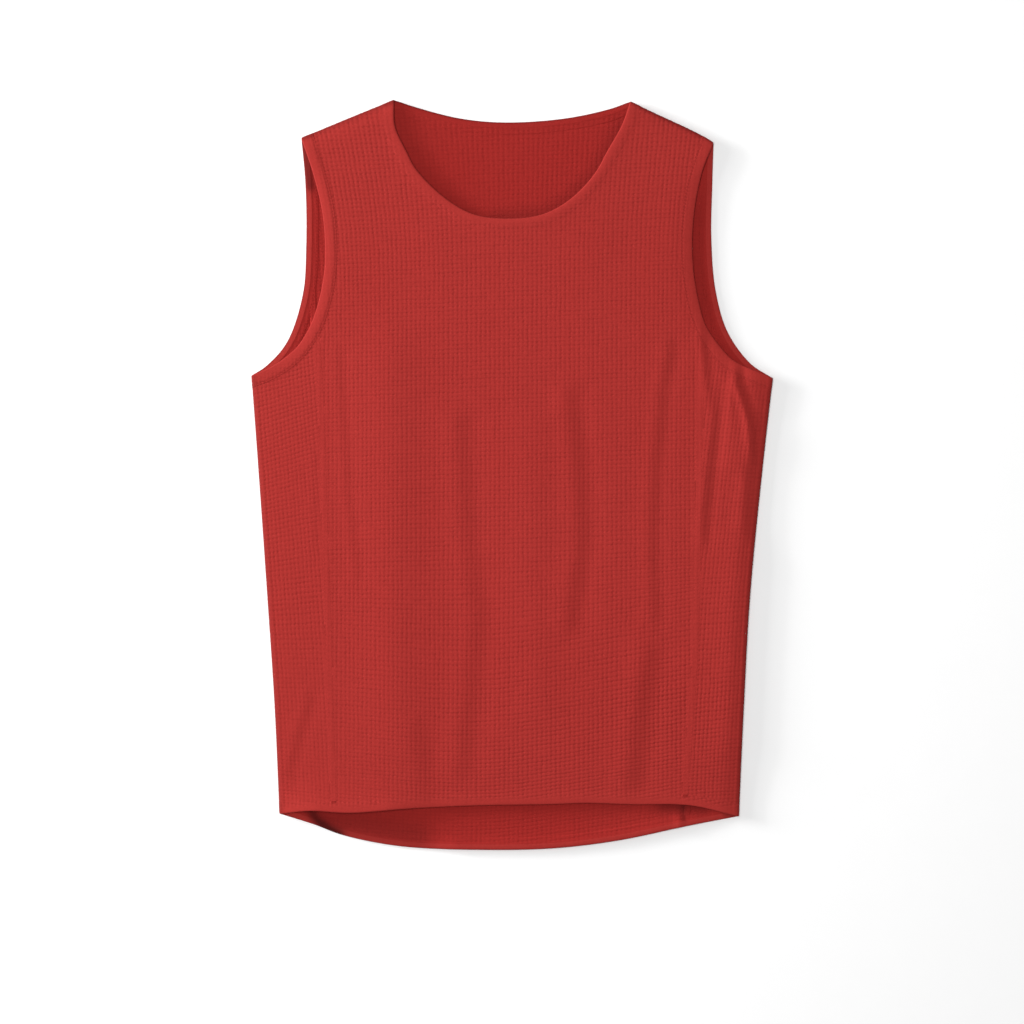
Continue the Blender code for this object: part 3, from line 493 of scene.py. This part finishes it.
class Cut:
    """The lines that bound the panels, running a little way under the bands, by (side's name, 0 on the front
    or 1 on the back): seam from the armhole to the hem, above and below for an armhole from the shoulder to
    the seam and on to the underarm, and beside for the hem from the seam to the side fold."""

    def __init__(self):
        lines = {name: band_seams(edge, TUCK) for name, edge in EDGES.items()}
        self.neck, self.hem = lines["neck_band"], []
        self.seam, self.above, self.below, self.beside, self.wrap_ends = {}, {}, {}, {}, {}
        for on_back, hem in enumerate(lines["hem_band"]):
            met = []
            for side in SIDES:
                key = side.name, on_back
                arm = lines[side.name + "_armhole_band"][on_back]
                seam = spline((side.seam_front, side.seam_back)[on_back])
                met.append(crossing(hem, seam))
                at_arm = crossing(arm, seam)
                self.seam[key] = cut(seam, crossing(seam, arm), crossing(seam, hem))
                self.above[key], self.below[key] = cut(arm, None, at_arm), cut(arm, at_arm, None)
            self.hem.append(cut(hem, *met))
            self.beside["left", on_back] = cut(hem, None, met[0])[::-1]
            self.beside["right", on_back] = cut(hem, met[1], None)
        for side in SIDES:  # where the front's wrap over a shoulder ends, at the neck and at the armhole
            crown = SHOULDER[side.name].curve - (0, SHOULDER_WRAP)
            end = np.vstack([2 * crown[0] - crown[20], crown, 2 * crown[-1] - crown[-20]])
            self.wrap_ends[side.name] = crossing(self.neck[1], end), crossing(self.above[side.name, 1], end)

    def wrap(self, side):
        """Outline of the front past a shoulder fold, from the armhole to the neck, in the flat plane."""
        neck, (at_neck, at_arm) = self.neck[1], self.wrap_ends[side.name]
        up_neck = cut(neck, None, at_neck)[::-1] if side is LEFT else cut(neck, at_neck, None)
        down_arm = cut(self.above[side.name, 1], None, at_arm)
        return SHOULDER[side.name].flattened(np.vstack([down_arm, up_neck]))

    def front(self):
        return without_repeats([
            self.hem[0], self.seam["right", 0][::-1], self.above["right", 0][::-1], self.wrap(RIGHT),
            self.neck[0][::-1], self.wrap(LEFT)[::-1], self.above["left", 0], self.seam["left", 0],
        ])

    def back(self):
        (left_neck, left_arm), (right_neck, right_arm) = (self.wrap_ends[side.name] for side in SIDES)
        return without_repeats([
            self.hem[1], self.seam["right", 1][::-1], cut(self.above["right", 1], right_arm, None)[::-1],
            cut(self.neck[1], left_neck, right_neck)[::-1], cut(self.above["left", 1], left_arm, None),
            self.seam["left", 1],
        ])

    def side_panel(self, side):
        front, back = (side.name, 0), (side.name, 1)
        under = np.vstack([self.beside[back][::-1], self.seam[back][::-1], self.below[back]])
        return without_repeats([self.seam[front], self.beside[front], FLANK[side.name].flattened(under),
                                self.below[front][::-1]])


CUT = Cut()


# ---- the grain of the knit

def counted(pitches, low, high):
    """Places and the number of cells up to each, from a table of (place, pitch)."""
    places = np.arange(low, high, 0.5)
    at, pitch = np.array(sorted(pitches), float).T
    cells = np.cumsum(0.5 / np.interp(places, at, pitch))
    return places, cells - np.interp(0, places, cells)


COLUMNS = counted(COLUMN_PITCHES, -240, 240)
ROWS = counted(ROW_PITCHES, -350, 360)


def body_grain(u, v):
    """Flat place of column u and row v on the front and the back."""
    x = np.interp(u, COLUMNS[1], COLUMNS[0])
    y = np.interp(v, ROWS[1], ROWS[0])
    from_middle = (x - SAG_MIDDLE) / SAG_WIDTH
    sag = SAG * (np.logaddexp(from_middle, -from_middle) - math.log(2))
    fan = FAN * FAN_SOFT * np.logaddexp(0, (y - FAN_START) / FAN_SOFT)
    return x * (1 + fan * np.where(x < 0, 1.0, RIGHT_FAN)), y + ROW_RISE * x + smooth(y, *SAG_CHANGE) * sag


def grain_at(x, y):
    """Column and row at a place on the body, by repeated guesses."""
    u, v = np.interp(x, *COLUMNS), np.interp(y, *ROWS)
    for _ in range(GUESSES):
        at_x, at_y = body_grain(u, v)
        u, v = u + (x - at_x) / MEAN_PITCH, v + (y - at_y) / MEAN_PITCH
    return u, v


def side_grain(side):
    """The same for a side panel: its columns run beside the fold."""
    ys, slopes = np.array(side.row_slopes, float).T
    fold = FLANK[side.name]

    def grain(u, v):
        y = np.interp(v, ROWS[1], ROWS[0])
        out = SIDE_PITCH * (u + 0.5)  # from the crown, towards the back
        y = y + np.interp(y, ys, slopes) * side.sign * (out + SLOPES_FROM)
        return fold.crown(y) + side.sign * (fold.extra + out), y
    return grain


# ---- meshes

def mesh_object(name, points, faces, materials, face_materials=None, uv=None, knit=None, turned=0.0):
    """An object from points in millimetres. Its UV map counts cells, and its attributes say how strong the
    waffle is and how much painted shade darkens its colour."""
    mesh = bpy.data.meshes.new(name)
    mesh.from_pydata((np.asarray(points) * MM).tolist(), [], faces)
    mesh.validate()
    mesh.shade_smooth()
    for material in materials:
        mesh.materials.append(material)
    if face_materials:
        mesh.polygons.foreach_set("material_index", face_materials)
    if knit is not None:
        corner = np.empty(len(mesh.loops), np.int32)
        mesh.loops.foreach_get("vertex_index", corner)
        mesh.uv_layers.new(name="cells").data.foreach_set("uv", np.asarray(uv, np.float32)[corner].ravel())
        x, y, z = points.T
        # Painted shade: along the fold crowns, on the bands' rounded edges and seam grooves, and in the
        # hollows between the layers
        hollow = np.where(z < PAINTED_SHADE_BELOW, np.minimum(folded(PAINTED_HOLLOW_SHADE, x, y), 1), 0)
        painted_shade_share = np.maximum(np.maximum(painted_fold_shade(x, y), turned), hollow)
        for kind, values in (("knit", knit), ("open", painted_shade_share)):
            mesh.attributes.new(kind, "FLOAT", "POINT").data.foreach_set("value", values.astype(np.float32))
    piece = bpy.data.objects.new(name, mesh)
    bpy.context.scene.collection.objects.link(piece)
    return piece


def knit_panel(name, outline, grain, laid, cells, materials):
    """A shell of waffle knit: four faces a cell outside, one inside, and a rim on the outline."""
    first_u, last_u, first_v, last_v = cells
    gu, gv = np.mgrid[first_u:last_u + 0.25:0.5, first_v:last_v + 0.25:0.5]
    flat = np.dstack(grain(gu, gv))
    middles = flat[1::2, 1::2]
    kept = inside(middles.reshape(-1, 2), outline).reshape(middles.shape[:2])
    fine = np.kron(kept, np.ones((2, 2), bool))
    padded = np.pad(fine, 1)
    around = [padded[:-1, :-1], padded[1:, :-1], padded[:-1, 1:], padded[1:, 1:]]
    used, whole = np.logical_or.reduce(around), np.logical_and.reduce(around)

    x, y, on_back = laid(flat[..., 0], flat[..., 1])
    normal = facing_out(on_layer(x, y, on_back))
    turned = (normal[..., 2] * np.where(on_back, -1, 1))[used].mean() < 0  # the outer face looks inward
    if turned:
        normal = -normal
    rim = used & ~whole
    flat[rim] = nearest_on(flat[rim], outline)
    points = on_layer(*laid(flat[..., 0], flat[..., 1]))

    odd_u, odd_v = gu % 1 != 0, gv % 1 != 0
    relief = np.where(odd_u & odd_v, PIT, np.where(odd_u, COLUMN_GROOVE, np.where(odd_v, ROW_GROOVE, 1.0)))
    margin = np.zeros(used.shape)
    margin[used] = np.linalg.norm(flat[used] - nearest_on(flat[used], outline), axis=1)
    x, y = points[..., 0], points[..., 1]
    at_fold = smooth(from_folds(x, y), 0, FOLD_RELIEF_WIDTH)
    strength = smooth(margin, *RELIEF_RISE) * (FOLD_RELIEF + (1 - FOLD_RELIEF) * at_fold)
    knit = smooth(margin, *KNIT_RISE)
    for spot_x, spot_y, radius, gain in KNIT_SPOTS:
        knit = knit * (1 + gain * bell(np.hypot(x - spot_x, y - spot_y), radius))
    outer = points + normal * (PILLOW * relief * strength)[..., None]
    inner = points - normal * WALL

    corners = used & ~odd_u & ~odd_v
    outer_id, inner_id = np.full(used.shape, -1), np.full(used.shape, -1)
    outer_id[used] = np.arange(used.sum())
    inner_id[corners] = used.sum() + np.arange(corners.sum())

    i, j = np.nonzero(fine)
    quads = np.column_stack([outer_id[i, j], outer_id[i + 1, j], outer_id[i + 1, j + 1], outer_id[i, j + 1]])
    i, j = 2 * np.array(np.nonzero(kept))
    backs = np.column_stack([inner_id[i, j], inner_id[i, j + 2], inner_id[i + 2, j + 2], inner_id[i + 2, j]])
    rims = []
    for along_u in (0, 1):  # the sides of a cell that run along v, then along u
        lined = np.pad(kept, [(1 - along_u,) * 2, (along_u,) * 2])
        before, after = (lined[:, :-1], lined[:, 1:]) if along_u else (lined[:-1], lined[1:])
        for i, j in np.argwhere(before != after) * 2:
            a, middle, b = ((i + k * along_u, j + k * (1 - along_u)) for k in range(3))
            if after[i // 2, j // 2] != along_u:
                a, b = b, a
            rims.append([outer_id[b], outer_id[middle], outer_id[a], inner_id[a], inner_id[b]])
    faces = quads.tolist() + backs.tolist() + rims
    if turned:
        faces = [face[::-1] for face in faces]
    face_materials = [0] * len(quads) + [1] * len(backs) + [0] * len(rims)

    def at_points(values):
        return np.concatenate([values[used], values[corners]])

    return mesh_object(name, np.vstack([outer[used], inner[corners]]), faces, materials, face_materials,
                       uv=at_points(np.dstack([gu, gv])), knit=at_points(knit))


Ribbon = namedtuple("Ribbon", "points normals lengths closed")  # points[section, place across]
INSIDE_BELOW = -0.9  # a section's points below this height are on the inside of the garment


def enclosed(points, faces):
    """Volume inside a closed mesh, below 0 where its faces turn inward."""
    corners = np.array([(face[0], face[k], face[k + 1]) for face in faces for k in range(1, len(face) - 1)])
    a, b, c = (points - points.mean(axis=0))[corners].transpose(1, 0, 2)
    return np.sum(a * np.cross(b, c)) / 6


def swept(name, ribbon, marks, profile, materials, knit, facing=-math.inf):
    """A closed section swept along a ribbon: marks are the ribbon's places across, profile a list of (place,
    height above the ribbon, how much painted shade darkens the colour), and knit how strong the waffle is at
    each. The inside further across than facing has the second material."""
    across, height, painted_shade_share = np.array(profile, float).T

    def at(values):
        return np.array([[np.interp(across, marks, line) for line in row.T] for row in values]).swapaxes(1, 2)

    plan = at(ribbon.points)
    points = (plan + at(ribbon.normals) * height[:, None]).reshape(-1, 3)
    count, size = plan.shape[:2]
    loops = np.arange(count * size).reshape(count, size)
    if ribbon.closed:
        loops = np.vstack([loops, loops[:1]])
    beside = np.roll(loops, -1, axis=1)
    faces = np.stack([loops[:-1], beside[:-1], beside[1:], loops[1:]], axis=-1).reshape(-1, 4).tolist()
    if not ribbon.closed:
        faces += [loops[0].tolist(), loops[-1, ::-1].tolist()]
    if enclosed(points, faces) < 0:
        faces = [face[::-1] for face in faces]
    within = ((height < INSIDE_BELOW) & (across > facing)).astype(int).tolist() * (count + 1)
    return mesh_object(name, points, faces, materials, within[:len(faces)],
                       uv=np.column_stack(grain_at(*plan.reshape(-1, 3)[:, :2].T)),
                       knit=np.tile(knit, count), turned=np.tile(painted_shade_share, count))


def threads(name, rows, length, gap, width, height, material):
    """Stitches, each a low lens of thread, along rows of (points, normals)."""
    points, faces = [], []
    for line, normals in rows:
        for start in np.arange(gap / 2, lengths(line)[-1] - length, length + gap):
            marks = start + length * np.array([0.0, 0.22, 0.78, 1.0])
            centre, normal = at_lengths(line, marks), unit(at_lengths(normals, marks))
            side = unit(np.cross(normal, unit(centre[-1] - centre[0]))) * width / 2
            low, high = centre - normal * height / 2, centre + normal * height
            first = len(points)
            points.append(low[0])
            for k in (1, 2):
                points += [centre[k] + side[k], high[k], centre[k] - side[k], low[k]]
            points.append(low[3])
            for m in range(4):
                a, b = first + 1 + m, first + 1 + (m + 1) % 4
                faces += [(first, b, a), (a, b, b + 4, a + 4), (first + 9, a + 4, b + 4)]
    return mesh_object(name, points, faces, [material])


# ---- bands

def section_points(curve, folds, count):
    """Points of a curve: by equal turns on the folds at its ends, count of them between."""
    s = lengths(curve)
    turns = 1 - np.cos(np.linspace(0, math.pi / 2, FOLD_STEPS + 1))
    marks = []
    for fold, order in zip(folds, (slice(None), slice(None, None, -1))):
        away, travelled = fold.depth(*curve.T)[order], s[order]
        stop = int(np.argmax(away > 2 * fold.radius)) + 1
        marks.append(np.interp(fold.radius * turns, np.maximum.accumulate(away[:stop]), travelled[:stop]))
    head, tail = marks[0], marks[1][::-1]
    between = np.linspace(head[-1], tail[0], count + 2)[1:-1]
    return at_lengths(curve, np.concatenate([head, between, tail]))


BAND_MARKS = np.linspace(0, 1, 9)


def band_ribbon(edge):
    """The outer face of a band: along the front layer and back along the back layer."""
    halves = []
    folds = (edge.first[0], edge.last[0])
    for on_back, (line, seam) in enumerate(zip(edge.layers, band_seams(edge))):
        count = round(lengths(seam)[-1] / edge.spacing)
        on_edge, on_seam = section_points(spline(line), folds, count), section_points(seam, folds, count)
        plan = on_edge[:, None] + (on_seam - on_edge)[:, None] * BAND_MARKS[None, :, None]
        halves.append(on_layer(plan[..., 0], plan[..., 1], on_back))
    front, back = halves
    for end_section in (0, -1):
        front[end_section] = back[end_section] = (front[end_section] + back[end_section]) / 2
    points = np.concatenate([front, back[-2:0:-1]])
    ring = np.concatenate([points[-1:], points, points[:1]])
    normals = facing_out(ring)[1:-1]
    normals *= np.sign(normals[len(front) // 2, :, 2].mean())
    middle_line = points[:, len(BAND_MARKS) // 2]
    return Ribbon(points, normals, lengths(np.vstack([middle_line, middle_line[:1]])), True)


BAND_REACH = 10.6  # a band laps a little over its seam
STITCH_LINES = (8.6, 10)  # two rows of thread, from the free edge
STITCH_HEIGHTS = (0.03, -1.24)  # their middles on the outer and the inner face
# The third value of a profile point is painted shade: on the rounded free edge and at the facing's edge
BAND_INSIDE = [
    (10.6, -0.95, 0), (10.3, -1.2, 0), (9.4, -1.24, 0), (7.3, -1.3, 0), (5.2, -1.34, 0), (5, -1.4, 0.15),
    (4.6, -1.42, 0), (2.6, -1.38, 0.05), (1.2, -1.26, 0.25), (0.5, -1.12, 0.6), (0.12, -0.9, 1),
]
# Painted shade on the rounded free edge, a painted groove shadow at the stitch row at 8.6, painted shade at
# the seam
STITCHED_PROFILE = [  # (place from the free edge, height, painted shade): outside, then back along the inside
    (0, -0.55, 0.3), (0.12, -0.2, 0.28), (0.5, 0.03, 0.2), (1.2, 0.1, 0.05), (2.6, 0.13, 0), (4.6, 0.14, 0),
    (7, 0.13, 0), (8.3, 0.12, 0.02), (8.6, 0.05, 0.24), (8.9, 0.1, 0.02), (9.5, 0.08, 0.02),
    (9.9, 0.03, 0.12), (10.3, 0, 0.15), (10.6, -0.25, 0.15),
] + BAND_INSIDE
# Painted shade on the rounded free edge only
PLAIN_PROFILE = [
    (0, -0.55, 0.24), (0.12, -0.2, 0.22), (0.5, 0.03, 0.12), (1.2, 0.1, 0), (2.6, 0.13, 0), (4.6, 0.12, 0),
    (7, 0.09, 0), (8.6, 0.06, 0), (9.5, 0, 0), (10.1, -0.08, 0), (10.6, -0.25, 0),
] + BAND_INSIDE
FACING = 4.9  # the cloth turned in along the free edge reaches this far
PLAIN_KNIT = (0.1, 0.9, 3, 8)  # the waffle across a band: least, gain, and where it rises
STITCHED_KNIT = (0.2, 0.4, 4, 8.5)
# Painted shade on each band's rounded free edge, as a share of its profile's
RIM_SHADE = {"neck_band": 0.9, "left_armhole_band": 1.0, "right_armhole_band": 0.25, "hem_band": 0.25}
RIM = 2.0  # that share counts up to this far from the free edge


def band(name, ribbon, materials, thread, stitched):
    """A band: plain, or with two rows of stitches on each face."""
    profile = [(place, height, painted_shade_share * (RIM_SHADE[name] if place < RIM else 1))
               for place, height, painted_shade_share in (STITCHED_PROFILE if stitched else PLAIN_PROFILE)]
    least, gain, *rise = STITCHED_KNIT if stitched else PLAIN_KNIT
    knit = [least + gain * smooth(place, *rise) for place, *_ in profile]
    piece = swept(name + "_cloth", ribbon, BAND_MARKS * BAND_REACH, profile, materials, knit,
                  -math.inf if name == "neck_band" else FACING)
    if not stitched:
        return piece, []
    rows = []
    for place in STITCH_LINES:
        mix, low = math.modf(place / BAND_REACH * (len(BAND_MARKS) - 1))
        low = int(low)
        line = ribbon.points[:, low] * (1 - mix) + ribbon.points[:, low + 1] * mix
        normal = unit(ribbon.normals[:, low] * (1 - mix) + ribbon.normals[:, low + 1] * mix)
        for lift, outward in zip(STITCH_HEIGHTS, (normal, -normal)):
            path = line + normal * lift
            rows.append((np.vstack([path, path[:1]]), np.vstack([outward, outward[:1]])))
    return piece, [threads(name + "_stitches", rows, length=2.1, gap=0.7, width=0.36, height=0.1,
                           material=thread)]


# ---- flat seams down the body

TAPE_MARKS = np.linspace(-1, 1, 9) * SEAM_TAPE / 2
TAPE_OUTSIDE = [(2.9, -0.25), (2.75, -0.07), (2.3, 0.01), (1.9, 0.03), (1, 0.05), (0, 0.04)]  # half of it
TAPE_INSIDE = [(2.9, -0.95), (2.7, -1.2), (1.4, -1.3), (0, -1.24)]
TAPE_PROFILE = [(side * place, height, 0) for half, side in (
    (TAPE_OUTSIDE, -1), (TAPE_OUTSIDE[-2::-1], 1), (TAPE_INSIDE, 1), (TAPE_INSIDE[-2::-1], -1))
    for place, height in half]
TAPE_STEP = 2.4  # between two sections
TAPE_KNIT = 0.5  # share of the waffle that shows through a seam
HEM_COVER = 4.4  # how much of a seam's lower end the hem band covers
BAR_TACK = (-2.7, -2, -1.3)  # rows of thread, from the hem band's inner edge
ROW_HEIGHT, TACK_HEIGHT = 0.02, 0.1  # middles of the threads above the tape


def flat_seam(name, line, on_back, materials, thread):
    """A tape over a seam, a row of stitches near each of its edges, and a bar tack above the hem."""
    end = lengths(line)[-1]
    line = at_lengths(line, np.linspace(0, end, round(end / TAPE_STEP) + 1))
    plan = np.stack([offset(line, place) for place in TAPE_MARKS], axis=1)
    points = on_layer(plan[..., 0], plan[..., 1], on_back)
    normals = facing_out(points)
    normals *= np.sign(normals[..., 2].mean()) * (-1 if on_back else 1)
    piece = swept(name, Ribbon(points, normals, lengths(line), False), TAPE_MARKS, TAPE_PROFILE, materials,
                  [TAPE_KNIT] * len(TAPE_PROFILE))
    rows = [(points[:, column] + normals[:, column] * ROW_HEIGHT, normals[:, column])
            for column in (1, -2)]
    stitches = threads(name + "_stitches", rows, length=2.0, gap=0.8, width=0.3, height=0.05,
                       material=thread)
    tacks = []
    for place in BAR_TACK:
        reach = lengths(line)[-1] - HEM_COVER - place
        across = [at_lengths(column, [reach])[0] for column in points.swapaxes(0, 1)]
        tacks.append((np.array(across) + normals[-2] * TACK_HEIGHT, normals[-2]))
    tack = threads(name + "_tack", tacks, length=5.5, gap=0.2, width=0.5, height=0.05, material=thread)
    return piece, stitches, tack


# ---- materials

class Nodes:
    """Short words for building a node tree."""

    def __init__(self, name, constants):
        self.material = bpy.data.materials.new(name)
        self.material.use_nodes = True
        self.tree = self.material.node_tree
        self.shader = self.tree.nodes["Principled BSDF"]
        for socket, value in constants.items():
            self.shader.inputs[socket].default_value = value

    def node(self, kind, inputs=(), **settings):
        made = self.tree.nodes.new("ShaderNode" + kind)
        for key, value in settings.items():
            setattr(made, key, value)
        for socket, value in dict(inputs).items():
            self.put(made.inputs[socket], value)
        return made

    def put(self, socket, value):
        value = value.outputs[0] if isinstance(value, bpy.types.Node) else value
        if isinstance(value, bpy.types.NodeSocket):
            self.tree.links.new(value, socket)
        else:
            socket.default_value = value

    def math(self, operation, *values):
        return self.node("Math", dict(enumerate(values)), operation=operation)

    def vector(self, operation, *values, **named):
        return self.node("VectorMath", {**dict(enumerate(values)), **named}, operation=operation)

    def ramp(self, value, start, end, low=0.0, high=1.0):
        return self.node("MapRange", {0: value, 1: start, 2: end, 3: low, 4: high},
                         interpolation_type="SMOOTHSTEP")

    def noise(self, vector, scale, detail=2.0, roughness=0.5):
        return self.node("TexNoise", {"Vector": vector, "Scale": scale, "Detail": detail,
                                      "Roughness": roughness})

    def mix(self, factor, a, b):
        return self.node("Mix", {0: factor, 6: a, 7: b}, data_type="RGBA").outputs[2]

    def finish(self, colour, roughness, height, strength, distance):
        bump = self.node("Bump", {"Strength": strength, "Distance": distance, "Height": height})
        for socket, value in (("Base Color", colour), ("Roughness", roughness), ("Normal", bump)):
            self.put(self.shader.inputs[socket], value)
        return self.material


def rgb(r, g, b):
    return (r, g, b, 1.0)


CLOTH = rgb(0.382, 0.0256, 0.021)
CLOTH_DARK = rgb(0.152, 0.0062, 0.0052)
CLOTH_LIGHT = rgb(0.421, 0.0322, 0.027)
# The reverse face is darker: partly its own tone, partly painted shade where it shows inside the openings
CLOTH_INSIDE = rgb(0.342, 0.0152, 0.0124)
# A touch lighter than the panels' cloth: painted light that makes up for the bands' edges curling down
CLOTH_BAND = rgb(0.388, 0.027, 0.0221)
CLOTH_PAINTED_SHADE = rgb(0.055, 0.002, 0.0016)  # colour of painted shade at full strength
THREAD, THREAD_DARK = rgb(0.34, 0.022, 0.018), rgb(0.29, 0.016, 0.013)


def cloth_material(name, base, light, pit_depth, pit_shade, line_shade, fibre=1.0):
    """Knit cloth: pillows, soft grooves and pits, uneven from cell to cell, with a fine fibre and nap."""
    n = Nodes(name, {"Sheen Weight": 0.02, "Sheen Roughness": 0.5, "Sheen Tint": rgb(1.0, 0.45, 0.4),
                     "Specular IOR Level": 0.15})
    cells = n.node("UVMap", uv_map="cells")
    place = n.node("TexCoord").outputs["Object"]
    knit, painted_shade_share = (n.node("Attribute", attribute_name=kind).outputs["Fac"] for kind in ("knit", "open"))

    drift = n.node("TexNoise", {"Vector": cells, "Scale": 0.35, "Detail": 1.0}).outputs[1]
    moved = n.vector("SCALE", n.vector("SUBTRACT", drift, (0.5, 0.5, 0.5)), Scale=0.4)
    moved = n.vector("ADD", cells, moved)
    split = n.node("SeparateXYZ", {0: moved})
    waves = [n.math("PINGPONG", split.outputs[axis], 0.5) for axis in (0, 1)]
    in_column = n.ramp(waves[0], 0.08, 0.48)
    in_row = n.ramp(waves[1], 0.10, 0.48)
    uneven = n.node("TexWhiteNoise", {"Vector": n.vector("FLOOR", moved)}, noise_dimensions="2D")
    pit = n.math("MULTIPLY", n.math("MULTIPLY", in_column, in_row), n.math("MULTIPLY_ADD", uneven, 0.9, 0.3))
    along_columns, along_rows = (n.noise(n.vector("MULTIPLY", cells, stretch), 1.0, 1.0)
                                 for stretch in ((0.9, 0.14, 1.0), (0.14, 0.9, 1.0)))
    in_column = n.math("MULTIPLY", in_column, n.ramp(along_columns, 0.3, 0.7, 0.5, 1.3))
    in_row = n.math("MULTIPLY", in_row, n.ramp(along_rows, 0.3, 0.7, 0.5, 1.25))
    lines = n.math("MAXIMUM", in_column, in_row)

    fine, speckle = n.noise(place, 2600.0, 3.0, 0.6), n.noise(place, 750.0, 2.0, 0.6)
    # Grooves and pits painted darker: partly the open knit's own darker see-through, partly painted shade in
    # these recesses
    shade = n.math("MULTIPLY_ADD", lines, line_shade, n.math("MULTIPLY", pit, pit_shade))
    colour = n.mix(n.ramp(n.noise(place, 9.0), 0.30, 0.72, 0.2, 0.4), base, light)
    colour = n.mix(n.ramp(n.noise(place, 260.0, 3.0, 0.6), 0.35, 0.85, 0.0, 0.12), colour, CLOTH_DARK)
    # painted shade on fold crowns, rounded free edges, seam grooves and hollows between the layers
    colour = n.mix(painted_shade_share, colour, CLOTH_PAINTED_SHADE)
    colour = n.mix(n.ramp(fine, 0.3, 0.8, 0.0, 0.22 * fibre), colour, CLOTH_DARK)
    colour = n.mix(n.ramp(speckle, 0.3, 0.75, 0.0, 0.12), colour, CLOTH_DARK)
    colour = n.mix(n.math("MULTIPLY", shade, knit), colour, CLOTH_DARK)

    dips = n.math("MULTIPLY_ADD", in_column, 0.48, n.math("MULTIPLY_ADD", in_row, 0.9, pit))
    height = n.math("MULTIPLY", dips, n.math("MULTIPLY", knit, -pit_depth))
    height = n.math("MULTIPLY_ADD", fine, 0.10 * fibre, height)
    height = n.math("MULTIPLY_ADD", n.noise(place, 900.0), 0.10 * fibre, height)
    return n.finish(colour, n.ramp(fine, 0.2, 0.8, 0.82, 0.94), height, 0.7, 0.0004)


def thread_material(name, colour, dark):
    n = Nodes(name, {"Specular IOR Level": 0.1})
    twist = n.noise(n.node("TexCoord").outputs["Object"], 3200.0, 2.0)
    colour = n.mix(n.ramp(twist, 0.35, 0.75), colour, dark)
    return n.finish(colour, n.ramp(twist, 0.2, 0.8, 0.55, 0.75), twist, 0.5, 0.0003)


# ---- the garment

def shown(piece, replaces=()):
    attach(piece, BODY)
    if replaces:
        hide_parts(*replaces)


def cut_size(outline):
    """Width and length of a flat outline, and its area, in metres."""
    x, y = outline.T * MM
    return (np.ptp(x), np.ptp(y)), abs(np.sum(x * np.roll(y, -1) - y * np.roll(x, -1))) / 2


def panels(materials):
    """Each panel of the body: its piece and its flat outline."""
    drawn = {"front_panel": (CUT.front(), body_grain, laid_front, (-48, 48, -92, 96)),
             "back_panel": (CUT.back(), body_grain, laid_back, (-48, 48, -96, 96))}
    for side in SIDES:
        drawn[side.name + "_side_panel"] = (CUT.side_panel(side), side_grain(side), FLANK[side.name].laid,
                                            (-26, 26, -96, 50))
    return {name: (knit_panel(name + "_knit", *drawing, materials), drawing[0])
            for name, drawing in drawn.items()}


VIEW_WIDTH = 0.85  # metres across the picture at the height of the cloth
VIEW_LEVEL, VIEW_Y = 0.003, -0.0309  # that height, and the middle of the picture


def studio():
    """A white floor, soft light from the left, and a camera straight above."""
    scene = bpy.context.scene
    bpy.ops.mesh.primitive_plane_add(size=6.0, location=(0, 0, -0.0006))
    floor = bpy.context.object
    floor.name = "floor"
    n = Nodes("floor_white", {"Roughness": 0.9, "Specular IOR Level": 0.0})
    paper = n.noise(n.node("TexCoord").outputs["Object"], 40.0)
    n.put(n.shader.inputs["Base Color"], n.mix(paper, rgb(0.965, 0.965, 0.965), rgb(0.98, 0.98, 0.98)))
    floor.data.materials.append(n.material)

    def lamp(name, place, width, height, power):
        light = bpy.data.lights.new(name, "AREA")
        light.shape = "RECTANGLE"
        light.size, light.size_y = width, height
        light.energy = power
        made = bpy.data.objects.new(name, light)
        made.location = place
        made.rotation_euler = (-Vector(place)).to_track_quat("-Z", "Y").to_euler()
        scene.collection.objects.link(made)

    lamp("overhead", (-0.35, 0.2, 2.95), 1.1, 1.1, 60.0)
    lamp("side", (-2.3, 0.66, 0.64), 1.1, 0.5, 33.5)
    lamp("low", (-2.5, 0.72, 0.34), 0.9, 0.4, 102.0)

    world = bpy.data.worlds.new("studio")
    world.use_nodes = True
    background = world.node_tree.nodes["Background"]
    background.inputs[0].default_value = rgb(1.0, 1.0, 1.0)
    background.inputs[1].default_value = 0.21
    scene.world = world

    camera = bpy.data.cameras.new("camera")
    camera.lens, camera.sensor_width = 100.0, 36.0
    view = bpy.data.objects.new("camera", camera)
    view.location = (0.0, VIEW_Y, VIEW_WIDTH * camera.lens / camera.sensor_width + VIEW_LEVEL)
    scene.collection.objects.link(view)
    scene.camera = view
    scene.view_settings.view_transform = "Standard"
    scene.view_settings.look = "None"


def build():
    outer = cloth_material("waffle_knit", CLOTH, CLOTH_LIGHT, pit_depth=0.35, pit_shade=0.065,
                           line_shade=0.13)
    reverse = cloth_material("knit_reverse", CLOTH_INSIDE, CLOTH, pit_depth=0.34, pit_shade=0.085,
                             line_shade=0.14, fibre=1.7)
    binding = cloth_material("edge_band", CLOTH_BAND, CLOTH_LIGHT, pit_depth=0.38, pit_shade=0.07,
                             line_shade=0.16)
    thread = thread_material("thread", THREAD, THREAD_DARK)
    dark_thread = thread_material("dark_thread", THREAD_DARK, rgb(0.24, 0.012, 0.01))

    made = panels([outer, reverse])
    for name, (piece, _) in made.items():
        shown(piece, [name])
    for name, edge in EDGES.items():
        ribbon = band_ribbon(edge)
        piece, sewing = band(name, ribbon, [binding, reverse], dark_thread, "armhole" in name)
        shown(piece, [name])
        for stitches in sewing:
            shown(stitches)
        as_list(sewing)
    sewn = {"front": [], "back": []}
    for side in SIDES:
        for on_back, where in enumerate(sewn):
            name = "_".join((side.name, where, "seam"))
            sewing = flat_seam(name, CUT.seam[side.name, on_back], on_back, [outer, reverse], thread)
            for piece in sewing:
                shown(piece)
            sewn[where] += sewing
    for name, (piece, outline) in made.items():
        flat, area = cut_size(outline)
        "folded" if "side" in name else "laid"


studio()
build()
